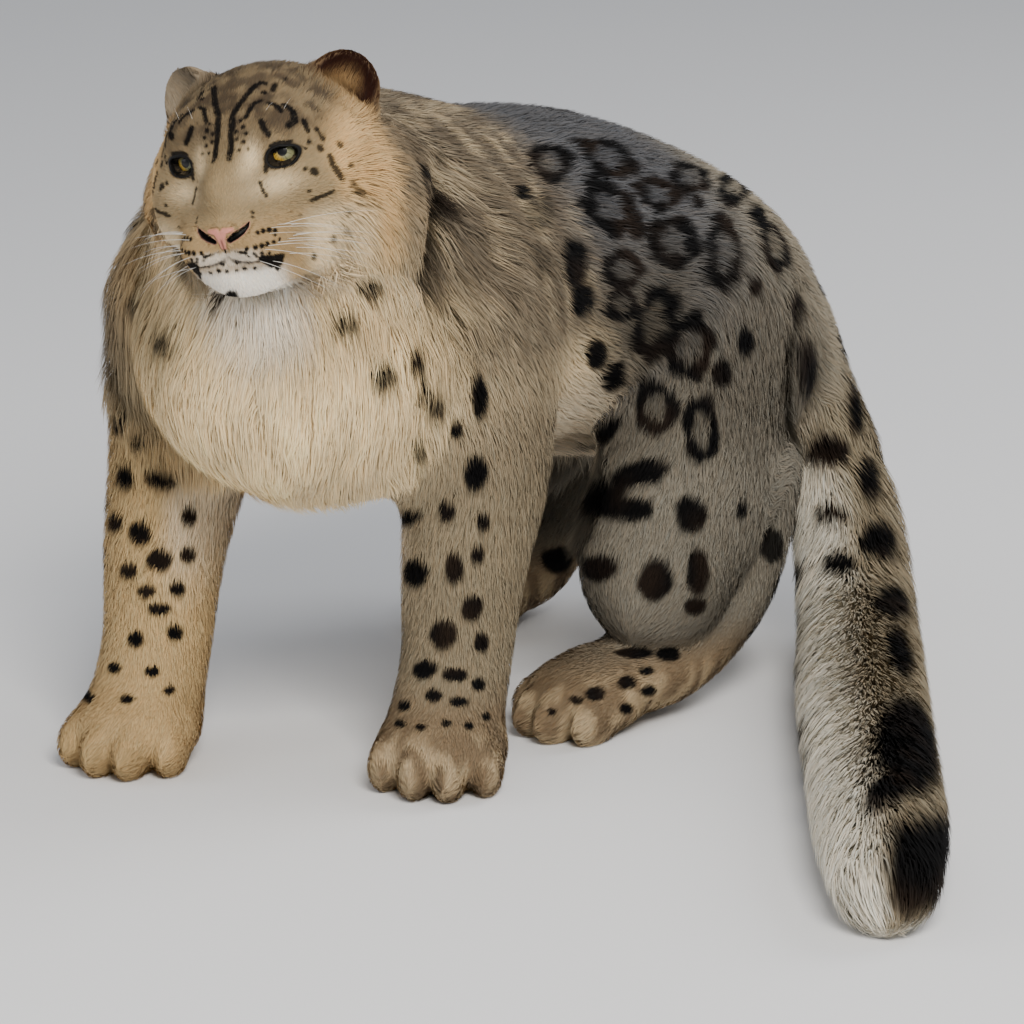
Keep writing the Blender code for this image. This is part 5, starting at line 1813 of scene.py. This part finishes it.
def whisker(start, way, droop, length, radius):
    """A three-sided tapered hair that sags as it goes."""
    t = np.linspace(0, 1, WHISKER_STEPS)
    line = start + way * (length * t)[:, None] + droop * (length * 0.42 * t**2)[:, None]
    side = np.cross(way, droop)
    side /= np.linalg.norm(side)
    other = np.cross(way, side)
    points = []
    for i, place in enumerate(line[:-1]):
        size = radius * (1 - 0.85 * t[i])
        points += [place + size * (side * math.cos(a) + other * math.sin(a)) for a in (0.5, 2.6, 4.7)]
    points.append(line[-1])
    faces = joined_rows(WHISKER_STEPS - 1, 3)
    last = (WHISKER_STEPS - 2) * 3
    faces += [(last + j, last + (j + 1) % 3, last + 3) for j in range(3)]
    return points, faces


def whisker_way(row, share, side, draw):
    """The way a whisker leaves the head, its length and its radius."""
    if row == BROW_ROW:
        return np.array((0.45 * side, 0.35, 0.9)), BROW_LENGTH, BROW_RADIUS
    way = np.array((1.0 * side, 0.22 + 0.40 * share, 0.06 - 0.13 * row))
    return way, draw.uniform(*WHISKER_LENGTHS), WHISKER_RADIUS


def make_whiskers():
    draw = np.random.default_rng(3)
    points, faces = [], []
    turned = np.array(HEAD_TURN)
    droop = turned @ np.array((0, 0.35, -1.0))
    for side in (1, -1):
        for row, (first, last, count) in enumerate(WHISKER_ROWS + (BROW_WHISKERS,)):
            for step in range(count):
                share = step / max(count - 1, 1)
                spot = np.array(first) * (1 - share) + np.array(last) * share
                start = np.array(on_head(mirrored(spot, side)))
                start -= outward(start[None])[0] * (outline_distance(start[None])[0] + WHISKER_ROOT)
                way, length, radius = whisker_way(row, share, side, draw)
                way = way + draw.normal(0, WHISKER_SPREAD, 3)
                way = turned @ (way / np.linalg.norm(way))
                more, cut = whisker(start, way, droop * draw.uniform(0.3, 0.8), length, radius)
                faces += [tuple(i + len(points) for i in face) for face in cut]
                points += more
    mesh = bpy.data.meshes.new("whiskers")
    mesh.from_pydata([tuple(point) for point in points], [], faces)
    mesh.shade_smooth()
    return new_object("whiskers", mesh)


def shown(obj, slot, *nodes):
    """Puts a finished piece in the frame's place, under the root, and hides the parts that it stands for."""
    obj.data.transform(Matrix.Translation(SHIFT))
    obj.data.update()
    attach(obj, "root")
    if nodes:
        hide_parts(*nodes)


FLESH = (
    "torso", "neck", "head", "ear_left", "ear_right", "foreleg_left", "foreleg_right", "forepaw_left",
    "forepaw_right", "hindleg_left", "hindleg_right", "hindpaw_left", "hindpaw_right", "tail_root",
    "tail_upper", "tail_middle", "tail_tip",
)
COAT_SLOTS = {"chest": "ruff_coat", "face": "face_coat", "crown": "face_coat", "leg": "leg_coat"}


def shift_to_frame():
    low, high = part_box("eye_left")
    return (Vector(low) + Vector(high)) / 2 - on_head(EYE_AT)


def dress():
    """The whole animal."""
    body = make_skin()
    skin = Skin(body.data)
    marks = seen_marks()
    add_unseen_marks(marks, body.data, skin.coat, skin.normals, skin.lie)
    base = base_colours(skin.coat, skin.normals)
    head = skin.coat.weights["head"]
    colours = marked(base, skin.places, head, marks)
    # Painted shade: the skin under the tufts is darkened to 85% of the coat's colours
    add_colours(body.data, colours * 0.85)
    body.data.materials.append(skin_material())
    pieces = make_coat(skin, marks, base)
    fur = coat_material()
    for piece in pieces:
        piece.data.materials.append(fur)
        slot = next((slot for part, slot in COAT_SLOTS.items() if part in piece.name), "coat")
        shown(piece, slot)
    shown(body, "coat", *FLESH)
    wet, damp = eye_material(), lid_material()
    for side, name in ((1, "left"), (-1, "right")):
        ball = eyeball(side, "eyeball_" + name)
        ball.data.materials.append(wet)
        shown(ball, "eye", "eye_" + name)
        lids = eyelids(side, "eyelids_" + name, skin, colours)
        lids.data.materials.append(damp)
        shown(lids, "face_coat")
    nose = make_nose()
    nose.data.materials.append(nose_material())
    shown(nose, "nose_leather", "nose")
    whiskers = make_whiskers()
    whiskers.data.materials.append(whisker_material())
    shown(whiskers, "face_coat")


# Floor, camera and light: each lamp by its place, size, power and colour
FLOOR_SIZE = 14
FLOOR_COLOUR = (0.78, 0.79, 0.81, 1)
SKY_COLOUR = (0.92, 0.95, 1.0, 1)
SKY_STRENGTH = 0.42
LIT_AT = Vector((0.0, 0.0, 0.28))
LAMPS = {
    "key": ((2.5, -2.2, 3.0), 1.6, 215, (1.0, 0.95, 0.88)),
    "fill": ((-2.4, -2.2, 1.6), 2.6, 24, (1.0, 0.98, 0.96)),
    "rim": ((1.0, 2.8, 2.6), 2.2, 60, (1.0, 0.98, 0.96)),
}
SENSOR = 36


def make_floor():
    bpy.ops.mesh.primitive_plane_add(size=FLOOR_SIZE)
    floor = bpy.context.object
    floor.name = "floor"
    material, shader = new_material("pale_floor", 0.9, 0.2)
    shader.inputs["Base Color"].default_value = FLOOR_COLOUR
    floor.data.materials.append(material)


def make_camera():
    camera = bpy.data.objects.new("camera", bpy.data.cameras.new("camera"))
    bpy.context.scene.collection.objects.link(camera)
    camera.location = VIEW_AT + SHIFT
    camera.rotation_euler = BACK.to_track_quat("Z", "Y").to_euler()
    camera.data.sensor_width = SENSOR
    camera.data.lens = SENSOR / 2 / math.tan(math.radians(VIEW_ANGLE) / 2)
    camera.data.clip_end = 50
    bpy.context.scene.camera = camera


def make_lamp(name, place, size, power, colour):
    lamp = bpy.data.objects.new(name, bpy.data.lights.new(name, "AREA"))
    bpy.context.scene.collection.objects.link(lamp)
    lamp.location = place
    aim = LIT_AT - lamp.location
    lamp.rotation_euler = aim.to_track_quat("-Z", "Y").to_euler()
    lamp.data.size = size
    lamp.data.energy = power
    lamp.data.color = colour


def make_world():
    world = bpy.data.worlds.new("sky")
    world.use_nodes = True
    shade = world.node_tree.nodes["Background"]
    shade.inputs["Color"].default_value = SKY_COLOUR
    shade.inputs["Strength"].default_value = SKY_STRENGTH
    bpy.context.scene.world = world


SHIFT = shift_to_frame()
dress()
make_floor()
make_camera()
for title, given in LAMPS.items():
    make_lamp(title, *given)
make_world()
